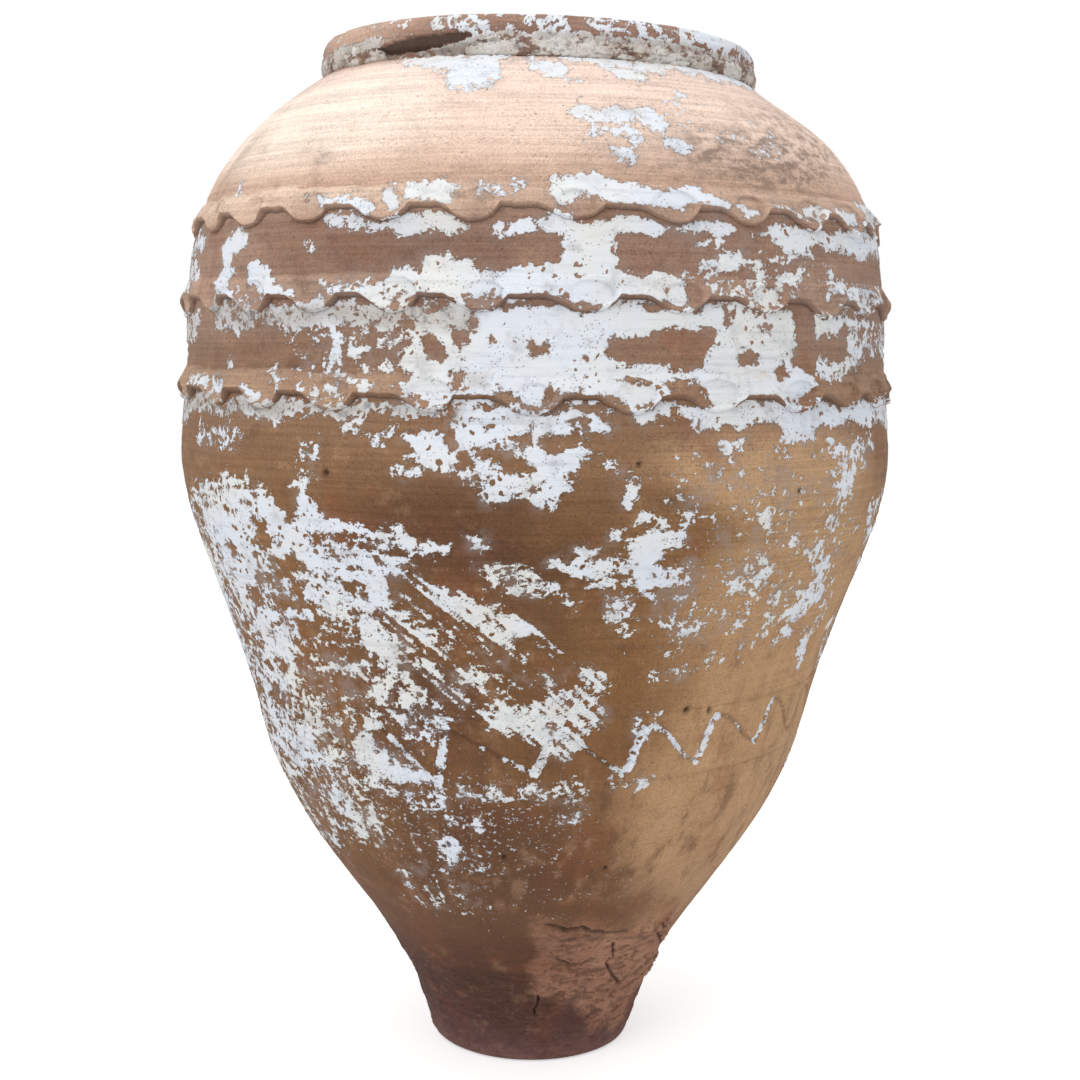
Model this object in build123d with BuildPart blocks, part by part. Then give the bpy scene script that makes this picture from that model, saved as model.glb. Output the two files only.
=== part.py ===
from build123d import *
import os
from math import pi

# Pithos: a large storage jar of fired clay, raised in courses on a small foot.
# Millimetres. +Z is up, the front faces -Y, and the origin is the centre of the resting face.

# Heights of the courses, from the ground up
foot_height = 70.0
lower_cone_height = 120.0
upper_cone_height = 117.0
frieze_height = 88.0
lower_belly_height = 115.0
upper_belly_height = 153.0
lower_girdle_height = 81.0
upper_girdle_height = 74.0
lower_shoulder_height = 84.0
upper_shoulder_height = 55.0
rim_height = 37.0

# Outer radii of the wall, at the foot, at the top of each course and at the widest place
foot_radius = 99.0
foot_top_radius = 124.0
lower_cone_top_radius = 199.0
upper_cone_top_radius = 264.5
frieze_top_radius = 290.0
lower_belly_top_radius = 329.5
belly_radius = 350.5
upper_belly_top_radius = 346.0
lower_girdle_top_radius = 342.0
upper_girdle_top_radius = 331.0
lower_shoulder_top_radius = 283.0
neck_radius = 211.5

# Height of the widest place above the top of the lower belly course
belly_rise = 92.0

# Lean of the wall from upright: outward at the foot, inward at the neck
foot_lean = 21.0
neck_lean = 54.0

# Wall, floor and the slanted joins between courses
wall_thickness = 22.0
join_slant = 12.0
floor_thickness = 30.0
floor_radius = 74.0
foot_edge_round = 5.0

# Rim, its undercut and the mortar packed in there
mouth_radius = 175.0
rim_root_radius = 200.0
rim_radius = 211.0
rim_top_radius = 206.0
rim_bulge = 1.5
rim_edge_round = 5.0
undercut_root = 5.0
undercut_lip = 11.0
fill_setback = 1.0
fill_gap_start = -132.0
fill_gap_angle = 24.0

# Applied bands: reach along the wall from their join, thickness and thumb-pressed lobes
band_rise = 30.0
band_thickness = 10.0
luting_gap = 0.3
lip_lift = 2.5
face_facets = 4
lobe_drop = 7.0
lobe_count = 27
lobe_turn = -97.5
lobe_tip_width = 14.0
ledge_width = 28.0
ledge_height = 14.0
thumb_ball_radius = 26.0
thumb_depth = 3.5
thumb_height = 12.0

# Incised ornament: a wave round the frieze and a pair of turned lines on the girdle
wave_count = 22
wave_turn = -89.5
wave_rise_angle = 4.5
wave_margin = 13.0
wave_groove_radius = 5.0
wave_groove_depth = 2.5
line_groove_radius = 2.0
line_spacing = 9.0
line_height_above_join = 33.0

full_turn = 360.0

# Points of the outer profile: x is the radius and y the height
foot_edge = Vector(foot_radius, 0)
foot_top = Vector(foot_top_radius, foot_height)
lower_cone_top = Vector(lower_cone_top_radius, foot_top.Y + lower_cone_height)
upper_cone_top = Vector(upper_cone_top_radius, lower_cone_top.Y + upper_cone_height)
frieze_top = Vector(frieze_top_radius, upper_cone_top.Y + frieze_height)
lower_belly_top = Vector(lower_belly_top_radius, frieze_top.Y + lower_belly_height)
belly = Vector(belly_radius, lower_belly_top.Y + belly_rise)
upper_belly_top = Vector(upper_belly_top_radius, lower_belly_top.Y + upper_belly_height)
lower_girdle_top = Vector(lower_girdle_top_radius, upper_belly_top.Y + lower_girdle_height)
upper_girdle_top = Vector(upper_girdle_top_radius, lower_girdle_top.Y + upper_girdle_height)
lower_shoulder_top = Vector(lower_shoulder_top_radius, upper_girdle_top.Y + lower_shoulder_height)
neck = Vector(neck_radius, lower_shoulder_top.Y + upper_shoulder_height)
rim_top = neck.Y + rim_height

stations = [
    foot_top,
    lower_cone_top,
    upper_cone_top,
    frieze_top,
    lower_belly_top,
    belly,
    upper_belly_top,
    lower_girdle_top,
    upper_girdle_top,
    lower_shoulder_top,
]

upright = Vector(0, 1)
foot_rise = upright.rotate(Axis.Z, -foot_lean)
neck_rise = upright.rotate(Axis.Z, neck_lean)

with BuildLine() as outside_line:
    Spline(foot_edge, *stations, neck, tangents=(foot_rise, neck_rise))
outer_wall = outside_line.edge()


def distance_up(point):
    """Length of the outer profile from the foot to one of its points."""
    return outer_wall.trim(0.0, point).length


def wall_point(point, along=0.0):
    """Point of the outer profile a distance along the wall from another one."""
    return outer_wall.position_at(distance_up(point) + along, PositionMode.LENGTH)


def wall_inward(point, along=0.0):
    """Direction square to the wall, into the clay, at that same place."""
    upward = outer_wall.tangent_at(distance_up(point) + along, PositionMode.LENGTH)
    return Vector(-upward.Y, upward.X)


def inside_of(point):
    """Point of the inner face where the join that starts at an outer point comes out."""
    return wall_point(point, join_slant) + wall_inward(point, join_slant) * wall_thickness


floor_corner = Vector(floor_radius, floor_thickness)
mouth_foot = Vector(mouth_radius, neck.Y)

with BuildLine() as inside_line:
    Spline(floor_corner, *[inside_of(station) for station in stations], mouth_foot)
inner_wall = inside_line.edge()

os.makedirs("parts", exist_ok=True)


def keep(piece, name):
    """Label a finished piece and write it out."""
    piece.part.label = name
    export_step(piece.part, f"parts/{name}.step")


def wall_ring(lower, upper):
    """Ring of wall between the slanted joins at two outer points."""
    with BuildPart() as ring:
        with BuildSketch(Plane.XZ):
            with BuildLine():
                add(outer_wall.trim(lower, upper))
                Line(upper, inside_of(upper))
                add(inner_wall.trim(inside_of(lower), inside_of(upper)))
                Line(inside_of(lower), lower)
            make_face()
        revolve(axis=Axis.Z)
    return ring


# Floor slab
with BuildPart() as floor_disc:
    with BuildSketch():
        Circle(floor_radius)
    extrude(amount=floor_thickness)
keep(floor_disc, "floor_disc")

# Foot ring, luted round the slab
with BuildPart() as foot_course:
    with BuildSketch(Plane.XZ):
        with BuildLine():
            Line((floor_radius, 0), foot_edge)
            add(outer_wall.trim(0.0, foot_top))
            Line(foot_top, inside_of(foot_top))
            add(inner_wall.trim(0.0, inside_of(foot_top)))
            Line(floor_corner, (floor_radius, 0))
        make_face()
    revolve(axis=Axis.Z)
    standing_edge = foot_course.edges().group_by(Axis.Z)[0].sort_by(SortBy.RADIUS)[-1]
    fillet(standing_edge, radius=foot_edge_round)
keep(foot_course, "foot_course")

# Plain courses of the cone, the belly, the girdle and the shoulder
keep(wall_ring(foot_top, lower_cone_top), "lower_cone_course")
keep(wall_ring(lower_cone_top, upper_cone_top), "upper_cone_course")
keep(wall_ring(frieze_top, lower_belly_top), "lower_belly_course")
keep(wall_ring(lower_belly_top, upper_belly_top), "upper_belly_course")
keep(wall_ring(lower_girdle_top, upper_girdle_top), "upper_girdle_course")
keep(wall_ring(upper_girdle_top, lower_shoulder_top), "lower_shoulder_course")

# Frieze course: each wave has a steep rising stroke and a long falling one
wave_low = wall_point(upper_cone_top, wave_margin)
wave_high = wall_point(frieze_top, -wave_margin)
wave_rise = Rotation(0, 0, wave_rise_angle)
wave_pitch = Rotation(0, 0, full_turn / wave_count)
groove_lift = wave_groove_radius - wave_groove_depth
low_start = Vector(wave_low.X + groove_lift, 0, wave_low.Y)
crest = (wave_rise * Pos(wave_high.X + groove_lift, 0, wave_high.Y)).position
low_end = (wave_pitch * Pos(low_start)).position

with BuildPart() as wave_stroke:
    for start, end in ((low_start, crest), (crest, low_end)):
        with BuildLine():
            stroke = Line(start, end)
        with BuildSketch(Plane(origin=start, z_dir=end - start)):
            Circle(wave_groove_radius)
        sweep(path=stroke)

plain_frieze = wall_ring(upper_cone_top, frieze_top)
with BuildPart() as frieze_course:
    add(plain_frieze.part)
    with Locations(Rotation(0, 0, wave_turn)):
        with PolarLocations(0, wave_count):
            add(wave_stroke.part, mode=Mode.SUBTRACT)
keep(frieze_course, "frieze_course")

# Lower girdle course, with its pair of turned lines
plain_girdle = wall_ring(upper_belly_top, lower_girdle_top)
with BuildPart() as lower_girdle_course:
    add(plain_girdle.part)
    for line in range(2):
        groove = wall_point(upper_belly_top, line_height_above_join + line * line_spacing)
        with Locations((0, 0, groove.Y)):
            Torus(groove.X, line_groove_radius, mode=Mode.SUBTRACT)
keep(lower_girdle_course, "lower_girdle_course")

# Upper shoulder course, ending in the level seat of the rim
with BuildPart() as upper_shoulder_course:
    with BuildSketch(Plane.XZ):
        with BuildLine():
            add(outer_wall.trim(lower_shoulder_top, 1.0))
            Line(neck, mouth_foot)
            add(inner_wall.trim(inside_of(lower_shoulder_top), 1.0))
            Line(inside_of(lower_shoulder_top), lower_shoulder_top)
        make_face()
    revolve(axis=Axis.Z)
keep(upper_shoulder_course, "upper_shoulder_course")

# Rim lip
undercut_inner = Vector(rim_root_radius, neck.Y + undercut_root)
undercut_outer = Vector(rim_radius, neck.Y + undercut_lip)
rim_crown = Vector(rim_top_radius, rim_top)
rim_swell = (undercut_outer + rim_crown) * 0.5 + Vector(rim_bulge, 0)

with BuildPart() as rim_lip:
    with BuildSketch(Plane.XZ):
        with BuildLine():
            Polyline(mouth_foot, (rim_root_radius, neck.Y), undercut_inner, undercut_outer)
            ThreePointArc(undercut_outer, rim_swell, rim_crown)
            Polyline(rim_crown, (mouth_radius, rim_top), mouth_foot)
        make_face()
    revolve(axis=Axis.Z)
    fillet(rim_lip.edges().group_by(Axis.Z)[-1], radius=rim_edge_round)
keep(rim_lip, "rim_lip")

# Mortar in the undercut, with the stretch that has fallen out
fill_start = Plane.XZ.rotated((0, 0, fill_gap_start + fill_gap_angle))
fill_share = (rim_radius - fill_setback - rim_root_radius) / (rim_radius - rim_root_radius)
fill_top = undercut_inner + (undercut_outer - undercut_inner) * fill_share

with BuildPart() as rim_lime_fill:
    with BuildSketch(fill_start):
        with BuildLine():
            Polyline(
                (rim_root_radius, neck.Y),
                (neck_radius - fill_setback, neck.Y),
                fill_top,
                undercut_inner,
                close=True,
            )
        make_face()
    revolve(axis=Axis.Z, revolution_arc=full_turn - fill_gap_angle)
keep(rim_lime_fill, "rim_lime_fill")


def applied_band(join):
    """Thumb-pressed strip over a join: thin at its top, a ledge below, with hanging lobes."""
    seat = Vector(luting_gap, 0)
    tip = wall_point(join, -lobe_drop) + seat
    top = wall_point(join, band_rise) + seat
    wall_side = outer_wall.trim(tip - seat, top - seat).moved(Pos(seat))

    # Outer face: as thick as the band at the lip, and thinning out up the wall
    lip_place = lip_lift - lobe_drop
    face_step = (band_rise - lip_place) / face_facets
    thickness_step = band_thickness / face_facets
    outer_face = [top]
    for facet in range(1, face_facets + 1):
        place = band_rise - facet * face_step
        standing = wall_inward(join, place) * (facet * thickness_step)
        outer_face.append(wall_point(join, place) + seat - standing)
    lip = outer_face[-1]

    # Gap between two lobes, below the ledge
    ledge = tip.Y + ledge_height
    gap_foot = tip.Y - lip_lift
    ledge_half = ledge_width / 2
    gap_half = pi * lip.X / lobe_count - lobe_tip_width / 2
    bend = (gap_half - ledge_half) / 2
    with BuildPart() as lobe_gap:
        with BuildSketch(Plane.YZ.offset(tip.X - band_thickness)):
            with BuildLine():
                Bezier(
                    (-gap_half, gap_foot),
                    (-gap_half + bend, gap_foot),
                    (-ledge_half - bend, ledge),
                    (-ledge_half, ledge),
                )
                Line((-ledge_half, ledge), (ledge_half, ledge))
                Bezier(
                    (ledge_half, ledge),
                    (ledge_half + bend, ledge),
                    (gap_half - bend, gap_foot),
                    (gap_half, gap_foot),
                )
                Line((gap_half, gap_foot), (-gap_half, gap_foot))
            make_face()
        extrude(amount=band_thickness * 3)

    # Hollow left by the thumb in a lobe
    with BuildPart() as thumb_print:
        with Locations((lip.X + thumb_ball_radius - thumb_depth, 0, tip.Y + thumb_height)):
            Sphere(thumb_ball_radius)

    with BuildPart() as band:
        with BuildSketch(Plane.XZ):
            with BuildLine():
                add(wall_side)
                Polyline(*outer_face, tip)
            make_face()
        revolve(axis=Axis.Z)
        with Locations(Rotation(0, 0, lobe_turn)):
            with PolarLocations(0, lobe_count, start_angle=full_turn / lobe_count / 2):
                add(lobe_gap.part, mode=Mode.SUBTRACT)
            with PolarLocations(0, lobe_count):
                add(thumb_print.part, mode=Mode.SUBTRACT)
    return band


keep(applied_band(upper_belly_top), "lower_band")
keep(applied_band(lower_girdle_top), "middle_band")
keep(applied_band(upper_girdle_top), "upper_band")
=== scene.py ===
"""Pithos: a coil-built storage jar of fired clay with the remains of a whitewash.

Sizes are in millimetres and turns in degrees, as a potter would mark them on the wall: a turn of 0
is the front of the jar, and it grows towards the right. Meshes are written in metres.
"""
import logging
from dataclasses import dataclass, field
from enum import Enum
from math import cos, pi, radians, sin
from typing import NamedTuple

import bmesh
import bpy
import numpy as np
from mathutils import Matrix, Vector


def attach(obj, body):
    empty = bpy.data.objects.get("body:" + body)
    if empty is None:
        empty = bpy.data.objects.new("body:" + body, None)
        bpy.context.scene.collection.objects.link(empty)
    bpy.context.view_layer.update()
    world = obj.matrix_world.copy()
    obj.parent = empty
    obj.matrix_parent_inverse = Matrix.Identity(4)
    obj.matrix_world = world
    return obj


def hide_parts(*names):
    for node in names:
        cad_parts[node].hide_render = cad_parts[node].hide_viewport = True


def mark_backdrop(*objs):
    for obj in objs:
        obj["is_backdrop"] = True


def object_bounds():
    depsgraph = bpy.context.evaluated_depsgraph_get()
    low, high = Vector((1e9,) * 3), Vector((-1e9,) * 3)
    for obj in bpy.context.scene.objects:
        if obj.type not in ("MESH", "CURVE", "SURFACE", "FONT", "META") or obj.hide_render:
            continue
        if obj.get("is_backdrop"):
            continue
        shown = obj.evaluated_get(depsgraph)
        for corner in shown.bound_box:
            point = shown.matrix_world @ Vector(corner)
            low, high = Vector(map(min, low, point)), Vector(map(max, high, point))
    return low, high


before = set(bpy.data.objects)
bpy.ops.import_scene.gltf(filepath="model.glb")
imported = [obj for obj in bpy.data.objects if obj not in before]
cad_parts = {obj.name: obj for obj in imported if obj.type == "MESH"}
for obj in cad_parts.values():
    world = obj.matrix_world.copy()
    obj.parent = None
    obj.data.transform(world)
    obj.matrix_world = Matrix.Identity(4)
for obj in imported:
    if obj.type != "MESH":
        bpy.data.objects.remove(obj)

CAD_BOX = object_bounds()
MM = 0.001
COLUMNS = 1152
BODY = "root"
CLAY_SLOT = "fired_clay"
MORTAR_SLOT = "lime_mortar"
FAR = -60.0
BARE = -25.0
BELLY_DEGREE = 6.0
WHITE = (1.0, 1.0, 1.0, 1.0)
CORNER_KEPT = 0.8
CORNER_CUT = 0.2

Array = np.ndarray
Layers = dict[str, Array]
Pair = tuple[float, float]
Outline = tuple[Pair, ...]
Point = tuple[float, float, float]
Colour = tuple[float, float, float]
Socket = bpy.types.NodeSocket

log = logging.getLogger("pithos")


class Wear(Enum):
    """How much of a whitewash patch is left, as the soundness of its middle in millimetres."""

    SOUND = 11.0
    CHIPPED = 7.0
    WORN = 2.6
    BROKEN = 0.2
    TRACES = -2.6
    GHOST = -5.4


class Sweep(Enum):
    """Which way a whitewash patch has been worn off."""

    FLAKED = "flaked"
    LEVEL = "level"
    SLANTED = "slanted"
    HANGING = "hanging"


def smooth(value: Array, low: float, high: float) -> Array:
    """Eases from 0 at low to 1 at high.

    Args:
        value: Any array.
        low: Where the easing starts.
        high: Where it ends.

    Returns:
        An array of the same shape, from 0 to 1.
    """
    part = np.clip((value - low) / (high - low), 0.0, 1.0)
    return part * part * (3.0 - 2.0 * part)


def turn_apart(turn: Array, other: float, period: float = 360.0) -> Array:
    """Gives the signed turn from other to turn, at most half a period either way."""
    return (turn - other + period / 2) % period - period / 2


def whole_turn(columns: int) -> Array:
    """Gives the turns of columns that stand evenly round the jar."""
    return np.arange(columns) * 360.0 / columns - 180.0


@dataclass(frozen=True)
class Grain:
    """Seeded smooth noise on the wall that closes on itself round the jar.

    The coarsest cells are wide and tall in millimetres on the belly. Each further octave is finer
    and weaker. The slant is the run to the right for each millimetre of fall.
    """

    wide: float
    tall: float
    seed: int
    octaves: int = 3
    fade: float = 0.6
    slant: float = 0.0
    finer: float = 0.47
    girth: float = 2180.0
    lowest: float = -60.0
    highest: float = 1060.0

    def octave(self, turn: Array, height: Array, wide: float, tall: float, seed: int) -> Array:
        """Samples one octave of the noise.

        Args:
            turn: Turns in degrees.
            height: Heights in millimetres.
            wide: Width of a cell.
            tall: Height of a cell.
            seed: Seed of the octave.

        Returns:
            Values from -1 to 1.
        """
        across = max(3, round(self.girth / wide))
        up = int((self.highest - self.lowest) / tall) + 3
        lattice = np.random.default_rng(seed).uniform(-1.0, 1.0, (up, across))
        u = (turn / 360.0 + self.slant * height / self.girth) * across
        v = np.clip((height - self.lowest) / tall, 0.0, up - 1.001)
        column, row = np.floor(u).astype(int), np.floor(v).astype(int)
        u, v = u - column, v - row
        u, v = u * u * (3.0 - 2.0 * u), v * v * (3.0 - 2.0 * v)
        left, right = column % across, (column + 1) % across
        low = lattice[row, left] * (1.0 - u) + lattice[row, right] * u
        high = lattice[row + 1, left] * (1.0 - u) + lattice[row + 1, right] * u
        return low * (1.0 - v) + high * v

    def at(self, turn: Array, height: Array) -> Array:
        """Adds up the octaves of the noise.

        Args:
            turn: Turns in degrees.
            height: Heights in millimetres.

        Returns:
            Values from about -1 to 1.
        """
        total = np.zeros(np.shape(turn))
        wide, tall = self.wide, self.tall
        strength, sum_of_strengths = 1.0, 0.0
        for octave in range(self.octaves):
            total += strength * self.octave(turn, height, wide, tall, self.seed + octave)
            sum_of_strengths += strength
            strength *= self.fade
            wide, tall = wide * self.finer, tall * self.finer
        return total / sum_of_strengths

    def along(self, turn: Array, row: float) -> Array:
        """Samples the noise along one level row of it, whatever the height."""
        return self.at(turn, np.full(np.shape(turn), row))


def off_stroke(x: Array, y: Array, start: Array, end: Array) -> Array:
    """Measures how far points are from a straight stroke.

    Args:
        x: Places of the points along the wall.
        y: Heights of the points.
        start: Start of the stroke.
        end: End of the stroke.

    Returns:
        Distances in millimetres.
    """
    run, rise = end - start
    along = ((x - start[0]) * run + (y - start[1]) * rise) / (run * run + rise * rise)
    along = np.clip(along, 0.0, 1.0)
    return np.hypot(x - start[0] - along * run, y - start[1] - along * rise)


def inset(turn: Array, height: Array, outline: Outline, reach: float = 30.0,
          per_degree: float = BELLY_DEGREE, period: float = 360.0) -> Array:
    """Measures how deep points lie inside an outline on the wall.

    Args:
        turn: Turns in degrees.
        height: Heights in millimetres.
        outline: Corners of the outline, as turn and height.
        reach: Distance outside the outline up to which it is measured.
        per_degree: Millimetres along the wall in a degree of turn.
        period: Turn after which the outline comes again.

    Returns:
        Millimetres inside the outline, negative outside and FAR beyond the reach.
    """
    corners = np.array(outline)
    low, high = corners.min(0), corners.max(0)
    middle = (low[0] + high[0]) / 2
    apart = turn_apart(turn, middle, period)
    half = (high[0] - low[0]) / 2 + reach / per_degree
    near = (np.abs(apart) < half) & (height > low[1] - reach) & (height < high[1] + reach)
    depth = np.full(np.shape(turn), FAR)
    if not near.any():
        return depth
    x, y = (apart[near] + middle) * per_degree, height[near]
    corners = corners * (per_degree, 1.0)
    nearest = np.full(x.shape, np.inf)
    inside = np.zeros(x.shape, bool)
    for start, end in zip(corners, np.roll(corners, -1, axis=0)):
        nearest = np.minimum(nearest, off_stroke(x, y, start, end))
        run, rise = end - start
        if rise:
            crosses = (start[1] <= y) != (end[1] <= y)
            inside ^= crosses & (x < start[0] + (y - start[1]) * run / rise)
    depth[near] = np.where(inside, nearest, -nearest)
    return np.maximum(depth, FAR)


def away_from(turn: Array, height: Array, line: Outline, reach: float, per_degree: float) -> Array:
    """Measures how far points of the wall are from a drawn line.

    Args:
        turn: Turns in degrees.
        height: Heights in millimetres.
        line: Points of the line, as turn and height.
        reach: Distance up to which it is measured.
        per_degree: Millimetres along the wall in a degree of turn.

    Returns:
        Millimetres from the line, and infinity beyond the reach.
    """
    middle = line[len(line) // 2][0]
    apart = turn_apart(turn, middle)
    path = np.array(line) - (middle, 0.0)
    low, high = path.min(0), path.max(0)
    margin = reach / per_degree
    near = (apart > low[0] - margin) & (apart < high[0] + margin)
    near &= (height > low[1] - reach) & (height < high[1] + reach)
    distance = np.full(np.shape(turn), np.inf)
    if not near.any():
        return distance
    x, y = apart[near] * per_degree, height[near]
    path = path * (per_degree, 1.0)
    nearest = np.full(x.shape, np.inf)
    for start, end in zip(path[:-1], path[1:]):
        nearest = np.minimum(nearest, off_stroke(x, y, start, end))
    distance[near] = nearest
    return distance


@dataclass(frozen=True)
class Cloud:
    """A soft-edged oval on the wall, with the strength of what it carries."""

    turn: float
    height: float
    half_turn: float
    half_height: float
    strength: float

    def at(self, turn: Array, height: Array) -> Array:
        """Gives the strength at points of the wall, fading out to the oval's edge.

        Args:
            turn: Turns in degrees.
            height: Heights in millimetres.

        Returns:
            Values from 0 to the strength.
        """
        across = turn_apart(turn, self.turn) / self.half_turn
        up = (height - self.height) / self.half_height
        return self.strength * smooth(-np.hypot(across, up), -1.0, -0.35)


def strongest(clouds: tuple[Cloud, ...], turn: Array, height: Array, least: Array) -> Array:
    """Gives the strongest of some clouds at points of the wall, and no less than the least."""
    return np.maximum.reduce([least, *(cloud.at(turn, height) for cloud in clouds)])


@dataclass(frozen=True)
class LimePatch:
    """A patch of whitewash on the wall: its outline as turns and heights, and how it has worn."""

    outline: Outline
    wear: Wear = Wear.SOUND
    sweep: Sweep = Sweep.FLAKED
    edge_slope: float = 1.0
    # Soiling of lime under a band's ledge, partly dirt and partly painted shade.
    soiled: float = 0.0

    def size(self) -> float:
        """Gives the smaller side of the patch, in millimetres on the belly."""
        turns, heights = zip(*self.outline)
        return min(BELLY_DEGREE * (max(turns) - min(turns)), max(heights) - min(heights))

    def fray(self) -> float:
        """Gives how much the patch crumbles into small flakes: little where it is sound."""
        return min(1.2, max(0.4, 1.15 - self.wear.value / 16.0))


def alike(wear: Wear, *outlines: Outline, **ways: object) -> tuple[LimePatch, ...]:
    """Makes patches that have worn alike.

    Args:
        wear: How much of them is left.
        outlines: Their outlines, as turns and heights.
        ways: Their sweep, edge slope, or soiling and painted shade, where it isn't the usual one.

    Returns:
        The patches.
    """
    return tuple(LimePatch(outline, wear, **ways) for outline in outlines)


SHOULDER_LIME = alike(
    Wear.CHIPPED,
    ((5, 900), (7, 910), (9, 905), (10, 898), (8, 890), (6, 891)),
    ((10, 903), (13, 911), (17, 905), (16, 890), (13, 887), (11, 894)),
    ((16, 906), (20, 905), (22, 892), (20, 879), (17, 889)),
    ((10.5, 872), (13, 871), (15, 862), (14, 856), (12, 858)),
    ((20, 880), (22, 880), (25, 872), (23, 868), (20.5, 872)),
    ((-56.2, 852), (-55.2, 851), (-55, 838), (-55.9, 838)),
    ((-38, 957), (-21, 959), (-7, 959), (-1, 956), (-8, 946), (-8, 924), (-17, 921), (-19, 938),
     (-30, 946)),
    ((-3, 950), (5, 953), (7, 942), (5, 932), (-2, 940)),
    ((13, 952), (18, 950), (25, 946), (22, 934), (18, 935), (14, 943)),
    ((-2, 959), (30, 959), (60, 959), (96, 959), (88, 950), (64, 950), (46, 945), (34, 950),
     (28, 944), (18, 950), (8, 952))
) + alike(
    Wear.WORN,
    ((8, 900), (10, 906), (12, 899), (11, 889), (9, 889)),
    ((10, 888), (14, 889), (17, 880), (15, 872), (12, 878)),
    ((7.5, 885), (10, 886), (10, 878), (7.5, 877)), ((4, 934), (9, 933), (6, 929))
) + alike(
    Wear.GHOST,
    ((24, 912), (40, 905), (42, 885), (28, 890)), edge_slope=0.4
)

UPPER_BAND_LIME = alike(
    Wear.CHIPPED,
    ((-36.5, 831), (-33, 830), (-29, 828), (-26.5, 826), (-24, 823), (-23.5, 813), (-25, 812),
     (-27, 818), (-30, 821), (-33, 823)),
    ((-22.8, 834), (-21, 836), (-20, 828), (-20.2, 820), (-22, 818), (-23, 826)),
    ((-19.4, 840), (-17, 841), (-15.5, 838), (-13, 842), (-11.8, 838), (-12, 828), (-12.5, 822),
     (-16, 823), (-19.2, 823)),
    ((30.3, 825), (34.5, 820), (34.3, 815), (31, 816.5), (30, 820)),
    ((36.5, 829), (39, 827), (42, 822), (44, 818), (42, 816), (39, 822), (36.8, 825)),
    ((52, 828), (57, 830), (62, 826), (70, 828), (74, 824), (72, 815), (62, 816), (56, 815),
     (52, 818))
) + alike(
    Wear.WORN,
    ((-8, 839), (-5.5, 836), (-5, 830), (-8, 829)), ((-3.8, 839), (-2, 841), (-1.2, 836), (-3, 830))
) + alike(
    Wear.SOUND,
    ((1.5, 844), (2.6, 846), (3.5, 841), (5.5, 844), (8.5, 846), (10.3, 842), (12, 838), (15, 836),
     (18, 834), (20.5, 836), (22.5, 840), (24, 836), (26, 830), (30, 826), (29, 820), (25, 821),
     (22, 823), (20, 819), (15, 821), (10.5, 822), (9, 826), (6, 829), (5, 821), (2.5, 822),
     (1.8, 830)),
    ((43.5, 829), (47, 830), (50, 826), (48, 818), (44.5, 817), (43, 822))
)

UPPER_GIRDLE_LIME = alike(
    Wear.SOUND,
    ((-3.2, 806), (-1, 811), (2, 813), (4, 810), (8, 806), (12, 811), (13.6, 815), (15.5, 809),
     (18, 806), (21, 808), (24, 816), (27, 812), (30, 810), (33, 806), (37, 812), (40, 812),
     (43.5, 806), (46, 808), (50, 807), (53, 812), (57, 806), (60, 803), (62, 798), (56, 797),
     (50, 799), (46, 797), (42, 796), (38, 801), (34, 797), (30, 798), (27, 801), (23, 797),
     (18, 801), (14, 797), (10.5, 799), (10, 785), (11.5, 772), (13.5, 766), (17, 763), (20, 762),
     (21, 752), (20, 745), (10, 742), (4, 744), (0, 747), (-4, 742), (-6, 757), (-5, 765), (0, 772),
     (3.2, 774), (3.8, 785), (3.5, 798), (0.5, 798), (-2, 794), (-5, 796))
) + alike(
    Wear.CHIPPED,
    ((-32, 811), (-27, 812), (-23.5, 805), (-20, 811), (-14, 813), (-11, 809), (-9, 802),
     (-11, 797), (-14, 800), (-18, 793), (-20, 796), (-22, 800), (-27, 804), (-32, 806)),
    soiled=0.35
) + alike(
    Wear.CHIPPED,
    ((-7, 803), (-4, 806), (-3, 800), (-6, 797)),
    ((-70, 812), (-66, 806), (-64, 800), (-66, 792), (-70, 795)),
    ((-53, 801), (-49, 800), (-49.5, 790), (-53, 782), (-51.5, 770), (-52, 757), (-50, 748),
     (-56, 746), (-57, 760), (-55, 775), (-55.5, 790)),
    ((-47, 773), (-44, 774), (-41, 768), (-40.5, 758), (-37, 750), (-36, 746), (-44, 748),
     (-46.5, 760)),
    ((-26, 744), (-25, 757), (-23.5, 765), (-22.5, 756), (-20.5, 768), (-16.3, 770), (-15.6, 778),
     (-13, 779), (-9, 771), (-6, 766), (-4, 760), (-5, 745), (-12, 744), (-17, 748), (-20, 744)),
    ((23, 795), (25, 795), (25, 789), (23, 788)),
    ((25, 796), (28, 796), (27, 787), (30, 788), (31, 781), (34, 784), (35, 776), (30, 774),
     (29, 768), (27, 769), (24, 777), (26, 780)),
    ((35, 810), (42, 809), (43, 800), (43, 782), (38, 783), (41, 788), (36, 792), (35, 802)),
    ((43, 808), (51, 805), (57, 814), (76, 812), (73, 798), (61, 787), (52, 794), (46, 796))
) + alike(
    Wear.WORN,
    ((-35, 790), (-33.5, 788), (-33.6, 782), (-34.8, 783)),
    ((-31.5, 759), (-28, 755), (-25, 750), (-29, 749), (-31, 754)),
    ((38, 770), (43, 776), (42, 767), (40, 758), (38, 761)),
    ((47, 778), (49, 778), (50, 766), (58, 762), (70, 764), (70, 750), (47, 747), (47, 762)),
    ((32, 770), (33.5, 770), (33.5, 747), (32, 749))
) + alike(
    Wear.TRACES,
    ((24, 800), (36, 800), (44, 780), (42, 750), (26, 750)), edge_slope=0.3
)

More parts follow.
